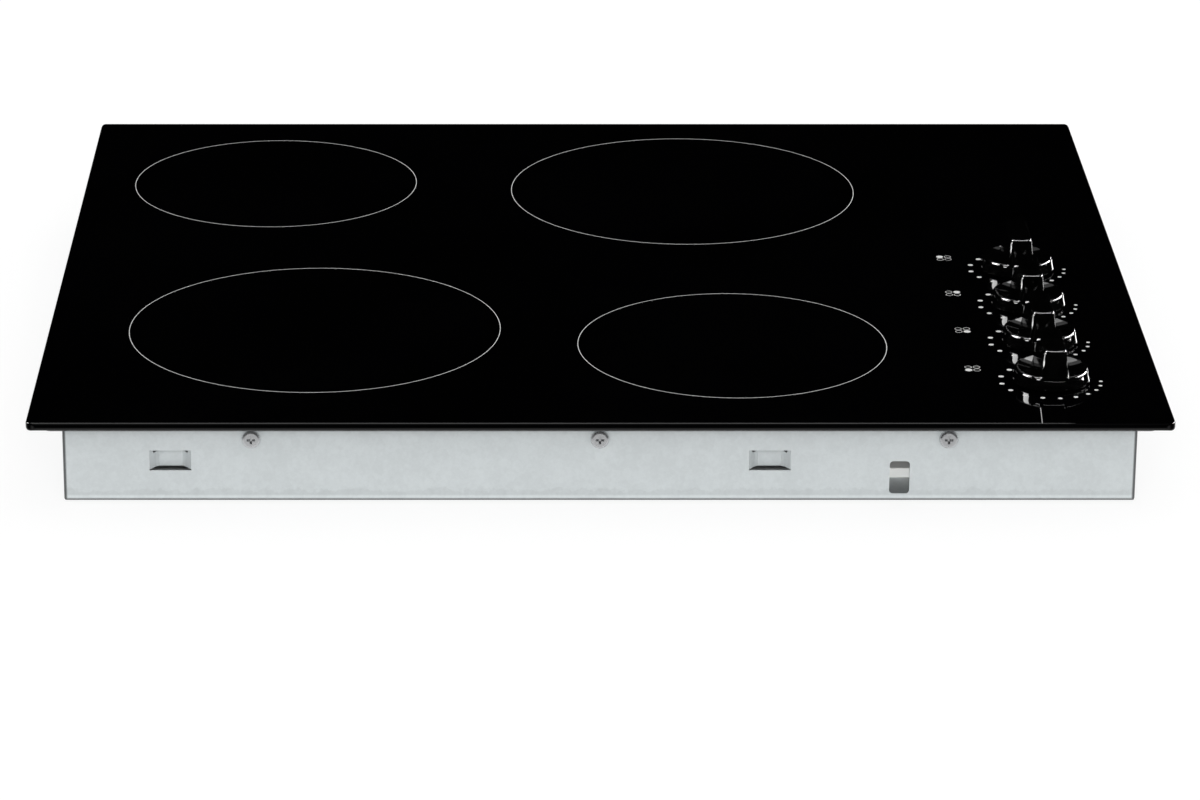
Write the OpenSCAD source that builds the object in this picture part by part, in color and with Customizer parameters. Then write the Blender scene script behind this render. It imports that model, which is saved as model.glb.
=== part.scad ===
// Built-in induction cooktop, 60 cm class, with four turning knobs on the glass.
// Right-handed frame in millimetres: +X to the knob side, +Y to the back, +Z up.
// The origin is on the underside of the case, below the middle of the glass.

/* [Glass] */
// Width of the glass
glass_w = 590; // [584:1:600]
// Depth of the glass, front to back
glass_d = 520; // [514:1:530]
// Thickness of the glass
glass_t = 4; // [3.5:0.1:5]
// Radius of the glass corners in plan
glass_corner_r = 6; // [3:0.5:9]
// Rounding of the glass edges
glass_edge_r = 1.4; // [0.6:0.1:1.7]

/* [Worktop seal] */
// Distance from the glass edge to the foam seal
seal_inset = 7; // [4:0.5:8]
// Width of the foam seal
seal_w = 6; // [4:0.5:7]
// Thickness of the foam seal
seal_t = 2.5; // [1.5:0.1:3]

/* [Case] */
// Height from the underside of the case to the underside of the glass
case_h = 45; // [44:0.5:52]
// Distance from the glass side edges to the case walls
case_inset_x = 17.4; // [16:0.1:20]
// Distance from the glass front and back edges to the case walls
case_inset_y = 17; // [16:0.5:20]
// Thickness of the case sheet
sheet_t = 0.8; // [0.6:0.1:1.2]
// Outer bend radius of the case
bend_r = 2; // [1.6:0.1:3]
// Thickness of the adhesive under the glass
adhesive_t = 1; // [0.8:0.1:1.5]
// Distance from the case wall top down to the wall screws
screw_drop = 9.4; // [8.5:0.1:10]
// Distance between the outer front screws and the middle one
screw_pitch = 180; // [150:1:200]
// Distance of each side wall screw from the middle
side_screw_y = 150; // [120:1:170]
// Diameter of the case screw heads
screw_head_d = 9.5; // [8:0.1:10]
// Diameter of the case screw shanks
screw_d = 3.9; // [3:0.1:4.5]

/* [Clip lances] */
// Places of the two clip lances along the front and back walls
lance_x = [-222, 88];
// Width of a lance
lance_w = 21.6; // [18:0.2:24]
// Width of the flat of a lance
lance_flat_w = 12; // [9:0.5:13]
// Width of a lance at the start of its flat's bend
lance_shoulder_w = 15; // [13.5:0.5:17]
// Height of a lance
lance_h = 11; // [8:0.2:12]
// Height of a lance above the underside of the case
lance_z = 17; // [14:0.2:18]
// Inward depth of a lance
lance_depth = 5.5; // [4:0.1:6.5]
// Place of the bracket slot along the front wall
slot_x = 155.2; // [130:0.2:180]
// Width of the bracket slot
slot_w = 10.4; // [8:0.1:14]
// Height of the bracket slot
slot_h = 17.9; // [14:0.1:20]
// Height of the slot above the underside of the case
slot_z = 4.2; // [3:0.1:6]

/* [Cooking zones] */
// Left zone centres from the left glass edge: back, front
left_zone_x = [111.5, 143.5];
// Right zone centres from the middle of the glass: back, front
right_zone_x = [54.9, 72.5];
// Back zone centres from the back glass edge: left, right
back_zone_y = [117.6, 131.4];
// Front zone centres from the front glass edge: left, right
front_zone_y = [146.7, 121];
// Diameter of the small zones
small_zone_d = 165; // [150:1:170]
// Diameter of the large zones
large_zone_d = 200; // [185:1:204]
// Diameter of the litz wire
wire_d = 3.2; // [2.6:0.1:3.6]
// Thickness of the insulating discs
insulator_t = 0.8; // [0.5:0.1:1.2]
// Height of the ferrite bars
ferrite_t = 5; // [3:0.5:6]
// Width of the ferrite bars
ferrite_w = 13; // [10:0.5:14]

/* [Coil tray] */
// Height of the coil tray's underside
tray_z = 24; // [23:0.5:25]
// Thickness of the coil tray
tray_t = 1.5; // [1:0.1:2]
// Height of the coil tray's turned-up rim
tray_rim_h = 5; // [3:0.5:7]
// Diameter of the tray posts
post_d = 8; // [6:0.5:9]

/* [Electronics] */
// Thickness of the plastic electronics tray
base_t = 1.6; // [1.2:0.1:2]
// Height of the electronics tray's rim
base_rim_h = 5.1; // [4:0.1:7]
// Gap between the case front wall and the electronics tray
base_front_gap = 30.9; // [25:0.1:36]
// Width of each power board
power_board_w = 130; // [120:1:136]
// Depth of each power board
power_board_d = 170; // [160:1:176]
// Centre of the left power board from the left glass edge
left_board_x = 115; // [112:1:118]
// Centre of the right power board from the middle of the glass
right_board_x = 75; // [72:1:78]
// Gap between the fans and the power boards
board_fan_gap = 13; // [8:1:20]
// Thickness of the circuit boards
board_t = 1.6; // [1:0.1:2]
// Height of the pillars under the boards
pillar_h = 3.6; // [3:0.1:4]
// Width of each heat sink
sink_w = 45; // [38:1:50]
// Height of each heat sink
sink_h = 14; // [11:0.5:15]

/* [Cooling fans] */
// Centre of the left fan from the left glass edge
left_fan_x = 95; // [93:0.5:98]
// Centre of the right fan from the middle of the glass
right_fan_x = 60; // [55:1:65]
// Centres of the fans from the back glass edge
fan_back = 95; // [92:0.5:98]
// Side of the square fan housing
fan_size = 84; // [76:1:86]
// Height of the fan housing
fan_h = 16; // [14:0.5:18]
// Diameter of the fan rotor
fan_rotor_d = 66; // [58:1:68]
// Number of fan blades
fan_blades = 23; // [15:1:27]
// Diameter of the fan axle
fan_axle_d = 3; // [2:0.1:4]

/* [Mains connection] */
// Distance from the coil tray's right edge to the cable gland
gland_side = 36; // [32:0.5:38]
// Height of the cable gland
gland_z = 15; // [14.5:0.1:16]
// Diameter of the cable gland's thread
gland_d = 20; // [18:0.5:21]
// Diameter of the cable gland's bore
gland_bore_d = 12; // [8:0.5:13]

/* [Knobs] */
// Distance from the right glass edge to the knobs
knob_side = 58; // [57:0.5:64]
// Distance from the front glass edge to the front knob
knob_front = 64.1; // [60:0.1:70]
// Distance between the knobs
knob_pitch = 60.4; // [54:0.1:62]
// Diameter of the knob skirt at its foot
knob_d = 40.6; // [36:0.1:42]
// Gap between the knob skirt and the glass
knob_gap = 1.4; // [1:0.1:2]
// Height of the knob rim above the glass
knob_rim_h = 8.3; // [8:0.1:10]
// Height of the knob's grip bar above the glass
knob_h = 23.2; // [20:0.1:26]
// Width of the grip bar on top
bar_top_w = 11.6; // [9:0.1:13]
// Width of the grip bar at its foot
bar_foot_w = 15.5; // [13:0.1:18]
// Diameter of the spindles
spindle_d = 6; // [5:0.1:6.4]

/* [Hidden] */

$fn = 64;
cut = 1;                 // extra length of a cutting tool past the face that it cuts
fit_gap = 0.2;           // gap between fixed pieces that slide into each other
run_gap = 0.05;          // radial gap of a turning shaft
touch_gap = 0.05;        // gap under a round face that lies on a flat one

// Case
case_w = glass_w - 2 * case_inset_x;
case_d = glass_d - 2 * case_inset_y;
wall_top = case_h - adhesive_t;
inner_w = case_w - 2 * sheet_t;
inner_d = case_d - 2 * sheet_t;
lance_slit = 0.6;                    // gap left by the shear along the lower edge of a lance
// Notch at the outer end of a lance's upper edge, from that edge down
lance_relief = [[6.4, -cut], [9.7, -cut], [8.8, 2.3], [6.4, 1.8]];
glass_top_z = case_h + glass_t;
knob_x = glass_w / 2 - knob_side;

// Frame under the glass
frame_t = 1;
frame_flange_w = 14;
frame_skirt_h = 14;
frame_w = inner_w - 2 * fit_gap;
frame_d = inner_d - 2 * fit_gap;
frame_r = bend_r - sheet_t;
adhesive_inset = 2;
adhesive_w = 9;

// Screws
screw_z = wall_top - screw_drop;
screw_len = 6;
screw_head_t = 2.6;
case_screw_places = concat(
    [for (x = [-1, 0, 1]) [x * screw_pitch, -case_d / 2, 0]],
    [for (x = [-1, 0, 1]) [x * screw_pitch, case_d / 2, 180]],
    [for (y = [-1, 1]) [case_w / 2, y * side_screw_y, 90]],
    [for (y = [-1, 1]) [-case_w / 2, y * side_screw_y, -90]]);

// Zone stack, from the glass down
BACK_LEFT = 0;
BACK_RIGHT = 1;
FRONT_LEFT = 2;
FRONT_RIGHT = 3;
zone_d = [small_zone_d, large_zone_d, large_zone_d, small_zone_d];
zone_x = [left_zone_x[0] - glass_w / 2, right_zone_x[0], left_zone_x[1] - glass_w / 2, right_zone_x[1]];
zone_y = [glass_d / 2 - back_zone_y[0], glass_d / 2 - back_zone_y[1],
          front_zone_y[0] - glass_d / 2, front_zone_y[1] - glass_d / 2];
bar_count = [6, 8, 8, 6];
coil_margin = 6;                     // coil carrier stops this far inside the zone
insulator_z = case_h - insulator_t;
wire_z = insulator_z - touch_gap - wire_d / 2;
plate_t = 2;
plate_top = wire_z - wire_d / 2 - touch_gap;
plate_z = plate_top - plate_t;
rim_t = 2;
hub_r = 14;
hub_hole_r = 12;
wire_gap = 0.5;
wire_pitch = wire_d - 0.2;
seat_inset = 12;
seat_r = 6;
seat_z = plate_z - ferrite_t - 0.4;
seat_pin_r = 2.6;
seat_pin_h = 4;
bar_inner_r = [18, 25, 25, 18];
bar_end_gap = 8;
tray_top = tray_z + tray_t;
spring_d = 9;
spring_wire_d = 1;
spring_turns = 4;

// Coil tray
tray_gap = 11;
tray_back_gap = 17;
bracket_half_w = 24;
bracket_gap = 17;
tray_x0 = -inner_w / 2 + tray_gap;
tray_x1 = knob_x - bracket_half_w - bracket_gap;
tray_y1 = inner_d / 2 - tray_back_gap;
tray_y0 = -tray_y1;
lead_hole_d = 18;
post_inset_x = 14;
post_inset_y = 30;
post_places = [
    for (x = [tray_x0 + post_inset_x, (tray_x0 + tray_x1) / 2, tray_x1 - post_inset_x])
        for (y = [tray_y0 + post_inset_y, tray_y1 - post_inset_y]) [x, y]];
tray_screw_d = 4;
tray_screw_len = 6;
tray_screw_head_d = 8;
tray_screw_head_t = 2.2;

// Electronics tray, boards and parts
fan_x = [left_fan_x - glass_w / 2, right_fan_x];
fan_y = glass_d / 2 - fan_back;
base_z = sheet_t;
base_top = base_z + base_t;
base_y0 = -case_d / 2 + sheet_t + base_front_gap;
base_y1 = inner_d / 2 - tray_back_gap;
base_side_gap = 12;
base_w = inner_w - 2 * base_side_gap;
board_z = base_top + pillar_h;
parts_z = board_z + board_t;
pillar_d = 7;
pin_d = 3;
pin_h = board_t + 1;
pillar_inset = 6;
power_board_x = [left_board_x - glass_w / 2, right_board_x];
power_board_y = fan_y - fan_size / 2 - board_fan_gap - power_board_d / 2;
filter_x = (power_board_x[0] + power_board_x[1]) / 2;
filter_back = 70;                    // from the middle of the fans
filter_y = fan_y - filter_back;
filter_w = 80;
filter_d = 110;
sink_base_t = 4;
sink_fin_t = 1.5;
sink_fin_count = 9;
sink_ends = 50;                      // board depth left clear of the heat sink
sink_len = power_board_d - sink_ends;

// Fans
fan_wall = 1.6;
fan_corner_r = 6;
fan_chamber_d = fan_size - 6;
fan_inlet_d = fan_size - 28;
fan_outlet_w = 46;
fan_hub_r = 13;
fan_floor_t = 1.2;
fan_clear = 1.2;
motor_r = 11;
motor_h = 2;                         // motor boss above the housing floor
vent_w = 3.5;
vent_pitch = 7;

// Gland and terminals
gland_flange_d = 26;
gland_flange_t = 2;
gland_dome_d = 21;
gland_dome_len = 10;
gland_thread_len = 9;
nut_flats = 24;
nut_t = 4;
terminal_w = 60;
terminal_d = 26;
terminal_h = 16;
terminal_back = 110;                 // from the back glass edge
terminal_y = glass_d / 2 - terminal_back;
terminal_ways = 6;
gland_x = tray_x1 - gland_side;

// Controls
knob_y = [for (i = [0:3]) knob_front - glass_d / 2 + i * knob_pitch];
glass_hole_d = 12;
bracket_t = 1;
bracket_plate_z = case_h - 7;
bracket_flange_w = 7;
bracket_end = 30;
bracket_y0 = knob_y[0] - bracket_end;
bracket_y1 = knob_y[3] + bracket_end;
switch_size = 24;
switch_h = 12;
switch_neck_d = 9.5;
switch_neck_h = 4;
switch_floor_t = 1;
switch_nut_flats = 13;
switch_nut_t = 2.4;
control_board_w = 32;
bush_flange_d = 16;
bush_flange_t = 0.8;
bush_barb_d = 13.4;
bush_barb_t = 1;
spindle_reach = 16;                  // spindle top above the glass
spindle_flat = 1.4;                  // depth of the flat on the spindle
spindle_flat_h = 12;
dish_r = 55;                         // radius of the dished knob face
dish_rim = 0.9;                      // flat rim left around the dish
skirt_flare = 1.1;                   // foot radius less rim radius
bar_lean = 1.2;                      // inward lean of the grip bar's ends, rim to top
skirt_edge_r = 0.7;
knob_wall = 2;
knob_roof_z = 3.8;                   // roof of the hollow under the knob, above the glass
knob_boss_d = 12;

// ---------- shared shapes ----------

// Rounded rectangle, centred.
module round_rect(w, d, r) {
    square([w - 2 * r, d], center = true);
    square([w, d - 2 * r], center = true);
    for (x = [-1, 1], y = [-1, 1])
        translate([x * (w / 2 - r), y * (d / 2 - r)]) circle(r = r);
}

// Flat ring with rounded corners.
module ring_plate(w, d, r, band, t) {
    linear_extrude(t) difference() {
        round_rect(w, d, r);
        square([w - 2 * band, d - 2 * band], center = true);
    }
}

// Upright section with rounded lower corners.
module u_section(w, h, r) {
    translate([-w / 2, r]) square([w, h - r]);
    translate([-w / 2 + r, 0]) square([w - 2 * r, h]);
    for (x = [-1, 1]) translate([x * (w / 2 - r), r]) circle(r = r);
}

// Box whose upright and lower edges are bent to radius r.
module bent_box(w, d, h, r) {
    intersection() {
        linear_extrude(h) round_rect(w, d, r);
        rotate([90, 0, 0]) linear_extrude(d + cut, center = true) u_section(w, h, r);
        rotate([90, 0, 90]) linear_extrude(w + cut, center = true) u_section(d, h, r);
    }
}

// Plate whose upper and lower edges are rounded to radius r.
module soft_plate(w, d, t, corner_r, r) {
    intersection() {
        linear_extrude(t) round_rect(w, d, corner_r);
        translate([0, 0, t / 2]) rotate([90, 0, 0]) linear_extrude(d + cut, center = true)
            round_rect(w, t, r);
        translate([0, 0, t / 2]) rotate([90, 0, 90]) linear_extrude(w + cut, center = true)
            round_rect(d, t, r);
    }
}

// Pan-head screw pointing along +Y, with its head's seat at y = 0.
module pan_screw(head_d, head_t, shank_d, len) {
    recess_l = head_d * 0.46;
    recess_w = head_d * 0.13;
    recess_floor = head_t * 0.15;
    edge = head_t * 0.45;
    rotate([90, 0, 0]) difference() {
        union() {
            rotate_extrude() difference() {
                union() {
                    square([head_d / 2, head_t - edge]);
                    square([head_d / 2 - edge, head_t]);
                    translate([head_d / 2 - edge, head_t - edge]) circle(r = edge);
                }
                translate([-head_d, -cut]) square([head_d, head_t + 2 * cut]);
            }
            translate([0, 0, -len]) cylinder(d = shank_d, h = len + head_t / 2);
        }
        for (a = [0, 90]) rotate(a)
            translate([-recess_l / 2, -recess_w / 2, recess_floor]) cube([recess_l, recess_w, head_t]);
    }
}

// Round bar with a flat on its +Y side over its upper part.
module flat_bar(d, h, flat, flat_h) {
    difference() {
        cylinder(d = d, h = h);
        translate([-d / 2, d / 2 - flat, h - flat_h]) cube([d, d, flat_h + cut]);
    }
}

// ---------- glass and its seals ----------

module glass_top() {
    color([0.03, 0.03, 0.035]) difference() {
        translate([0, 0, case_h])
            soft_plate(glass_w, glass_d, glass_t, glass_corner_r, glass_edge_r);
        for (y = knob_y) translate([knob_x, y, case_h - cut])
            cylinder(d = glass_hole_d, h = glass_t + 2 * cut);
    }
}

module worktop_seal() {
    color([0.12, 0.12, 0.12]) translate([0, 0, case_h - seal_t])
        ring_plate(glass_w - 2 * seal_inset, glass_d - 2 * seal_inset, glass_corner_r, seal_w, seal_t);
}

module glass_adhesive() {
    color([0.16, 0.16, 0.17]) translate([0, 0, wall_top])
        ring_plate(frame_w - 2 * adhesive_inset, frame_d - 2 * adhesive_inset, frame_r,
                   adhesive_w, adhesive_t);
}

module glass_frame() {
    flange_hole = [frame_w - 2 * frame_flange_w, frame_d - 2 * frame_flange_w];
    color([0.68, 0.70, 0.70]) difference() {
        translate([0, 0, wall_top - frame_skirt_h]) union() {
            ring_plate(frame_w, frame_d, frame_r, frame_t, frame_skirt_h);
            translate([0, 0, frame_skirt_h - frame_t]) linear_extrude(frame_t) difference() {
                round_rect(frame_w, frame_d, frame_r);
                square(flange_hole, center = true);
            }
        }
        for (p = case_screw_places) translate([p[0], p[1], screw_z]) rotate(p[2])
            rotate([-90, 0, 0]) cylinder(d = screw_d + 2 * touch_gap, h = screw_len + cut);
    }
}

// ---------- case ----------

// Window of one clip lance, seen from outside the front wall.
module lance_window() {
    translate([-lance_w / 2, -cut, lance_z]) cube([lance_w, sheet_t + 2 * cut, lance_h]);
}

// Strip of one clip lance, pressed inward from the front wall.
module lance_strip() {
    shoulder_depth = lance_depth * 0.78;
    path = [[lance_w / 2, 0], [lance_shoulder_w / 2, shoulder_depth], [lance_flat_w / 2, lance_depth]];
    face = concat(path, [for (i = [2:-1:0]) [-path[i][0], path[i][1]]]);
    back = [for (i = [5:-1:0]) face[i] + [0, sheet_t]];
    difference() {
        translate([0, 0, lance_z + lance_slit]) linear_extrude(lance_h - lance_slit - fit_gap)
            polygon(concat(face, back));
        for (s = [-1, 1]) translate([0, -cut, lance_z + lance_h]) rotate([-90, 0, 0])
            linear_extrude(lance_depth + sheet_t + 2 * cut)
                polygon([for (p = lance_relief) [s * p[0], p[1]]]);
    }
}

// Rounded upright slot through the front wall.
module bracket_slot() {
    slot_r = 2;
    translate([slot_x, -case_d / 2 - cut, slot_z + slot_h / 2]) rotate([-90, 0, 0])
        linear_extrude(sheet_t + 2 * cut) round_rect(slot_w, slot_h, slot_r);
}

// Row of slots through the case floor.
module floor_vents(x, y, count, len) {
    for (i = [0:count - 1]) translate([x + (i - (count - 1) / 2) * vent_pitch, y, -cut])
        linear_extrude(sheet_t + 2 * cut) round_rect(vent_w, len, vent_w / 2 - 0.01);
}

module case_pan() {
    outlet_len = 20;
    outlet_count = 12;
    color([0.75, 0.78, 0.77]) difference() {
        union() {
            difference() {
                bent_box(case_w, case_d, wall_top, bend_r);
                translate([0, 0, sheet_t])
                    bent_box(inner_w, inner_d, wall_top, bend_r - sheet_t);
                for (x = lance_x) {
                    translate([x, -case_d / 2, 0]) lance_window();
                    translate([x, case_d / 2, 0]) rotate(180) lance_window();
                }
            }
            for (x = lance_x) {
                translate([x, -case_d / 2, 0]) lance_strip();
                translate([x, case_d / 2, 0]) rotate(180) lance_strip();
            }
        }
        bracket_slot();
        for (x = fan_x) floor_vents(x, fan_y, 7, fan_inlet_d * 0.8);
        for (x = power_board_x)
            floor_vents(x, base_y0 - base_front_gap / 2, outlet_count, outlet_len);
        for (p = case_screw_places) translate([p[0], p[1], screw_z]) rotate(p[2])
            translate([0, -cut, 0]) rotate([-90, 0, 0])
                cylinder(d = screw_d + 2 * fit_gap, h = sheet_t + 2 * cut);
        translate([gland_x, case_d / 2 + cut, gland_z]) rotate([90, 0, 0])
            cylinder(d = gland_d + 2 * fit_gap, h = sheet_t + 2 * cut);
    }
}

module case_screws() {
    color([0.80, 0.81, 0.82]) for (p = case_screw_places)
        translate([p[0], p[1], screw_z]) rotate(p[2])
            pan_screw(screw_head_d, screw_head_t, screw_d, screw_len);
}

// ---------- mains connection ----------

module cable_gland() {
    dome_r = 3;
    color([0.10, 0.10, 0.11]) translate([gland_x, case_d / 2, gland_z]) rotate([-90, 0, 0])
        difference() {
            union() {
                cylinder(d = gland_flange_d, h = gland_flange_t);
                rotate_extrude() difference() {
                    union() {
                        square([gland_dome_d / 2, gland_dome_len - dome_r]);
                        square([gland_dome_d / 2 - dome_r, gland_dome_len]);
                        translate([gland_dome_d / 2 - dome_r, gland_dome_len - dome_r])
                            circle(r = dome_r);
                    }
                    translate([-gland_dome_d, -cut])
                        square([gland_dome_d, gland_dome_len + 2 * cut]);
                }
                translate([0, 0, -sheet_t - gland_thread_len])
                    cylinder(d = gland_d, h = sheet_t + gland_thread_len + cut);
            }
            translate([0, 0, -sheet_t - gland_thread_len - cut])
                cylinder(d = gland_bore_d, h = sheet_t + gland_thread_len + gland_dome_len + 2 * cut);
        }
}

module gland_locknut() {
    color([0.10, 0.10, 0.11]) translate([gland_x, inner_d / 2 - nut_t, gland_z])
        rotate([-90, 0, 0]) difference() {
            rotate(30) cylinder(d = nut_flats / cos(30), h = nut_t, $fn = 6);
            translate([0, 0, -cut]) cylinder(d = gland_d + 2 * touch_gap, h = nut_t + 2 * cut);
        }
}

module terminal_block() {
    way = terminal_w / terminal_ways;
    screw_well = 6;
    wire_well = 8;
    wire_z = terminal_h / 2 - 2;
    color([0.86, 0.85, 0.80]) translate([gland_x, terminal_y, base_top]) rotate(90) difference() {
        translate([-terminal_w / 2, -terminal_d / 2, 0]) cube([terminal_w, terminal_d, terminal_h]);
        for (i = [0:terminal_ways - 1]) translate([(i + 0.5) * way - terminal_w / 2, 0, 0]) {
            for (y = [-1, 1]) translate([0, y * terminal_d / 4, terminal_h - screw_well])
                cylinder(d = way * 0.6, h = screw_well + cut);
            for (a = [0, 180]) rotate(a) translate([0, -terminal_d / 2 - cut, wire_z])
                rotate([-90, 0, 0]) cylinder(d = way * 0.5, h = wire_well + cut);
        }
    }
}

// ---------- coil tray ----------

module coil_tray() {
    w = tray_x1 - tray_x0;
    d = tray_y1 - tray_y0;
    color([0.80, 0.81, 0.83]) difference() {
        translate([(tray_x0 + tray_x1) / 2, 0, tray_z]) difference() {
            bent_box(w, d, tray_t + tray_rim_h, bend_r);
            translate([0, 0, tray_t])
                bent_box(w - 2 * tray_t, d - 2 * tray_t, tray_rim_h + cut, bend_r - tray_t);
        }
        for (p = post_places) translate([p[0], p[1], tray_z - cut])
            cylinder(d = tray_screw_d + 2 * fit_gap, h = tray_t + 2 * cut);
        for (i = [0:3]) translate([zone_x[i], zone_y[i], tray_z - cut])
            cylinder(d = lead_hole_d, h = tray_t + 2 * cut);
    }
}

module tray_posts() {
    color([0.82, 0.82, 0.80]) for (p = post_places) translate([p[0], p[1], sheet_t])
        difference() {
            cylinder(d = post_d, h = tray_z - sheet_t, $fn = 6);
            translate([0, 0, tray_z - sheet_t - tray_screw_len])
                cylinder(d = tray_screw_d + 2 * touch_gap, h = tray_screw_len + cut);
        }
}

module tray_screws() {
    color([0.80, 0.81, 0.82]) for (p = post_places) translate([p[0], p[1], tray_top])
        rotate([-90, 0, 0]) pan_screw(tray_screw_head_d, tray_screw_head_t, tray_screw_d, tray_screw_len);
}

// ---------- induction coils ----------

// Radius of a zone's coil carrier.
function carrier_r(i) = zone_d[i] / 2 - coil_margin;

// Angles of the spring seats, halfway between ferrite bars.
function seat_angles(i) = [for (k = [0:bar_count[i] / 2 - 1]) (2 * k + 0.5) * 360 / bar_count[i]];

module coil_carrier(i) {
    r = carrier_r(i);
    pitch = 360 / bar_count[i];
    rim_h = wire_d * 0.85;
    rib_t = 1.2;
    rib_h = 3;
    window_w = 8;
    window_r0 = bar_inner_r[i] + 10;
    window_r1 = r - seat_inset - seat_r - 4;
    color([0.13, 0.13, 0.14]) translate([zone_x[i], zone_y[i], plate_z]) {
        difference() {
            union() {
                cylinder(r = r, h = plate_t + rim_h);
                for (k = [0:bar_count[i] - 1], side = [-1, 1]) rotate(k * pitch)
                    translate([bar_inner_r[i], side * (ferrite_w / 2 + fit_gap + rib_t / 2) - rib_t / 2,
                               -rib_h])
                        cube([r - bar_end_gap - bar_inner_r[i], rib_t, rib_h + touch_gap]);
                for (a = seat_angles(i)) rotate(a) translate([r - seat_inset, 0, 0]) {
                    translate([0, 0, seat_z - plate_z]) cylinder(r = seat_r, h = plate_z - seat_z + cut);
                    translate([0, 0, seat_z - plate_z - seat_pin_h])
                        cylinder(r = seat_pin_r, h = seat_pin_h + cut);
                }
            }
            translate([0, 0, plate_t]) difference() {
                cylinder(r = r - rim_t, h = rim_h + cut);
                translate([0, 0, -cut]) cylinder(r = hub_r, h = rim_h + 3 * cut);
            }
            translate([0, 0, -cut]) cylinder(r = hub_hole_r, h = plate_t + rim_h + 2 * cut);
            for (k = [0:bar_count[i] - 1]) rotate((k + 0.5) * pitch)
                translate([window_r0, -window_w / 2, -cut])
                    cube([window_r1 - window_r0, window_w, plate_t + 2 * cut]);
        }
    }
}

module coil_winding(i) {
    r0 = hub_r + wire_gap + wire_d / 2;
    r1 = carrier_r(i) - rim_t - wire_gap - wire_d / 2;
    turns = floor((r1 - r0) / wire_pitch);
    color([0.72, 0.40, 0.22]) translate([zone_x[i], zone_y[i], wire_z]) rotate_extrude()
        for (k = [0:turns]) translate([r0 + k * wire_pitch, 0]) circle(d = wire_d);
}

module ferrites(i) {
    len = carrier_r(i) - bar_end_gap - bar_inner_r[i];
    color([0.22, 0.22, 0.24]) translate([zone_x[i], zone_y[i], plate_z - ferrite_t])
        for (k = [0:bar_count[i] - 1]) rotate(k * 360 / bar_count[i])
            translate([bar_inner_r[i], -ferrite_w / 2, 0]) cube([len, ferrite_w, ferrite_t]);
}

module insulator(i) {
    hole_r = 6;
    color([0.78, 0.74, 0.66]) translate([zone_x[i], zone_y[i], insulator_z]) difference() {
        cylinder(r = carrier_r(i) - rim_t, h = insulator_t);
        translate([0, 0, -cut]) cylinder(r = hole_r, h = insulator_t + 2 * cut);
    }
}

module sensor(i) {
    tip_r = 4;
    lead_r = 1;
    lead_len = 3;
    lead_side = 2.5;
    plug_h = plate_t + 1;
    color([0.85, 0.84, 0.80]) translate([zone_x[i], zone_y[i], plate_z]) {
        cylinder(r = hub_hole_r - fit_gap, h = plug_h);
        cylinder(r = tip_r, h = case_h - plate_z);
        for (x = [-1, 1]) translate([x * lead_side, 0, -lead_len]) cylinder(r = lead_r, h = lead_len + cut);
    }
}

// Wire spring standing on z = 0: a round section swept along a helix.
module wire_spring(d, wire, h, turns) {
    sides = 5;
    steps = 9;
    n = turns * steps;
    r = (d - wire) / 2;
    points = [for (i = [0:n], s = [0:sides - 1])
        let (a = i * 360 / steps, q = s * 360 / sides)
            [(r + wire / 2 * cos(q)) * cos(a), (r + wire / 2 * cos(q)) * sin(a),
             wire / 2 + i * (h - wire) / n + wire / 2 * sin(q)]];
    walls = [for (i = [0:n - 1], s = [0:sides - 1])
        let (t = (s + 1) % sides)
            [i * sides + s, i * sides + t, (i + 1) * sides + t, (i + 1) * sides + s]];
    first = [for (s = [sides - 1:-1:0]) s];
    last = [for (s = [0:sides - 1]) n * sides + s];
    polyhedron(points, concat(walls, [first, last]));
}

module coil_springs() {
    color([0.78, 0.79, 0.80]) for (i = [0:3], a = seat_angles(i))
        translate([zone_x[i], zone_y[i], tray_top + touch_gap]) rotate(a)
            translate([carrier_r(i) - seat_inset, 0, 0])
                wire_spring(spring_d, spring_wire_d, seat_z - tray_top - 2 * touch_gap, spring_turns);
}

// ---------- electronics ----------

// Corner places of a board's pillars.
function pillar_places(x, y, w, d) = [
    for (i = [-1, 1], j = [-1, 1]) [x + i * (w / 2 - pillar_inset), y + j * (d / 2 - pillar_inset)]];

all_pillars = concat(
    pillar_places(power_board_x[0], power_board_y, power_board_w, power_board_d),
    pillar_places(power_board_x[1], power_board_y, power_board_w, power_board_d),
    pillar_places(filter_x, filter_y, filter_w, filter_d));

module electronics_tray() {
    depth = base_y1 - base_y0;
    base_r = 6;
    post_clear = 1;
    color([0.80, 0.81, 0.80]) difference() {
        union() {
            translate([0, (base_y0 + base_y1) / 2, base_z]) difference() {
                linear_extrude(base_rim_h) round_rect(base_w, depth, base_r);
                translate([0, 0, base_t]) linear_extrude(base_rim_h)
                    round_rect(base_w - 2 * base_t, depth - 2 * base_t, base_r - base_t);
            }
            for (p = all_pillars) translate([p[0], p[1], base_top - touch_gap]) {
                cylinder(d = pillar_d, h = pillar_h + touch_gap);
                cylinder(d = pin_d, h = pillar_h + touch_gap + pin_h);
            }
        }
        for (p = post_places) translate([p[0], p[1], base_z - cut])
            cylinder(r = post_d / 2 + post_clear, h = base_t + 2 * cut);
        for (x = fan_x) translate([x, fan_y, base_z - cut])
            cylinder(d = fan_inlet_d, h = base_t + 2 * cut);
    }
}

// Circuit board with a hole at each pillar pin.
module board(x, y, w, d) {
    difference() {
        translate([x - w / 2, y - d / 2, board_z]) cube([w, d, board_t]);
        for (p = pillar_places(x, y, w, d)) translate([p[0], p[1], board_z - cut])
            cylinder(d = pin_d + 2 * fit_gap, h = board_t + 2 * cut);
    }
}

module power_board(side) {
    color([0.20, 0.42, 0.26]) board(power_board_x[side], power_board_y, power_board_w, power_board_d);
}

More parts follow.
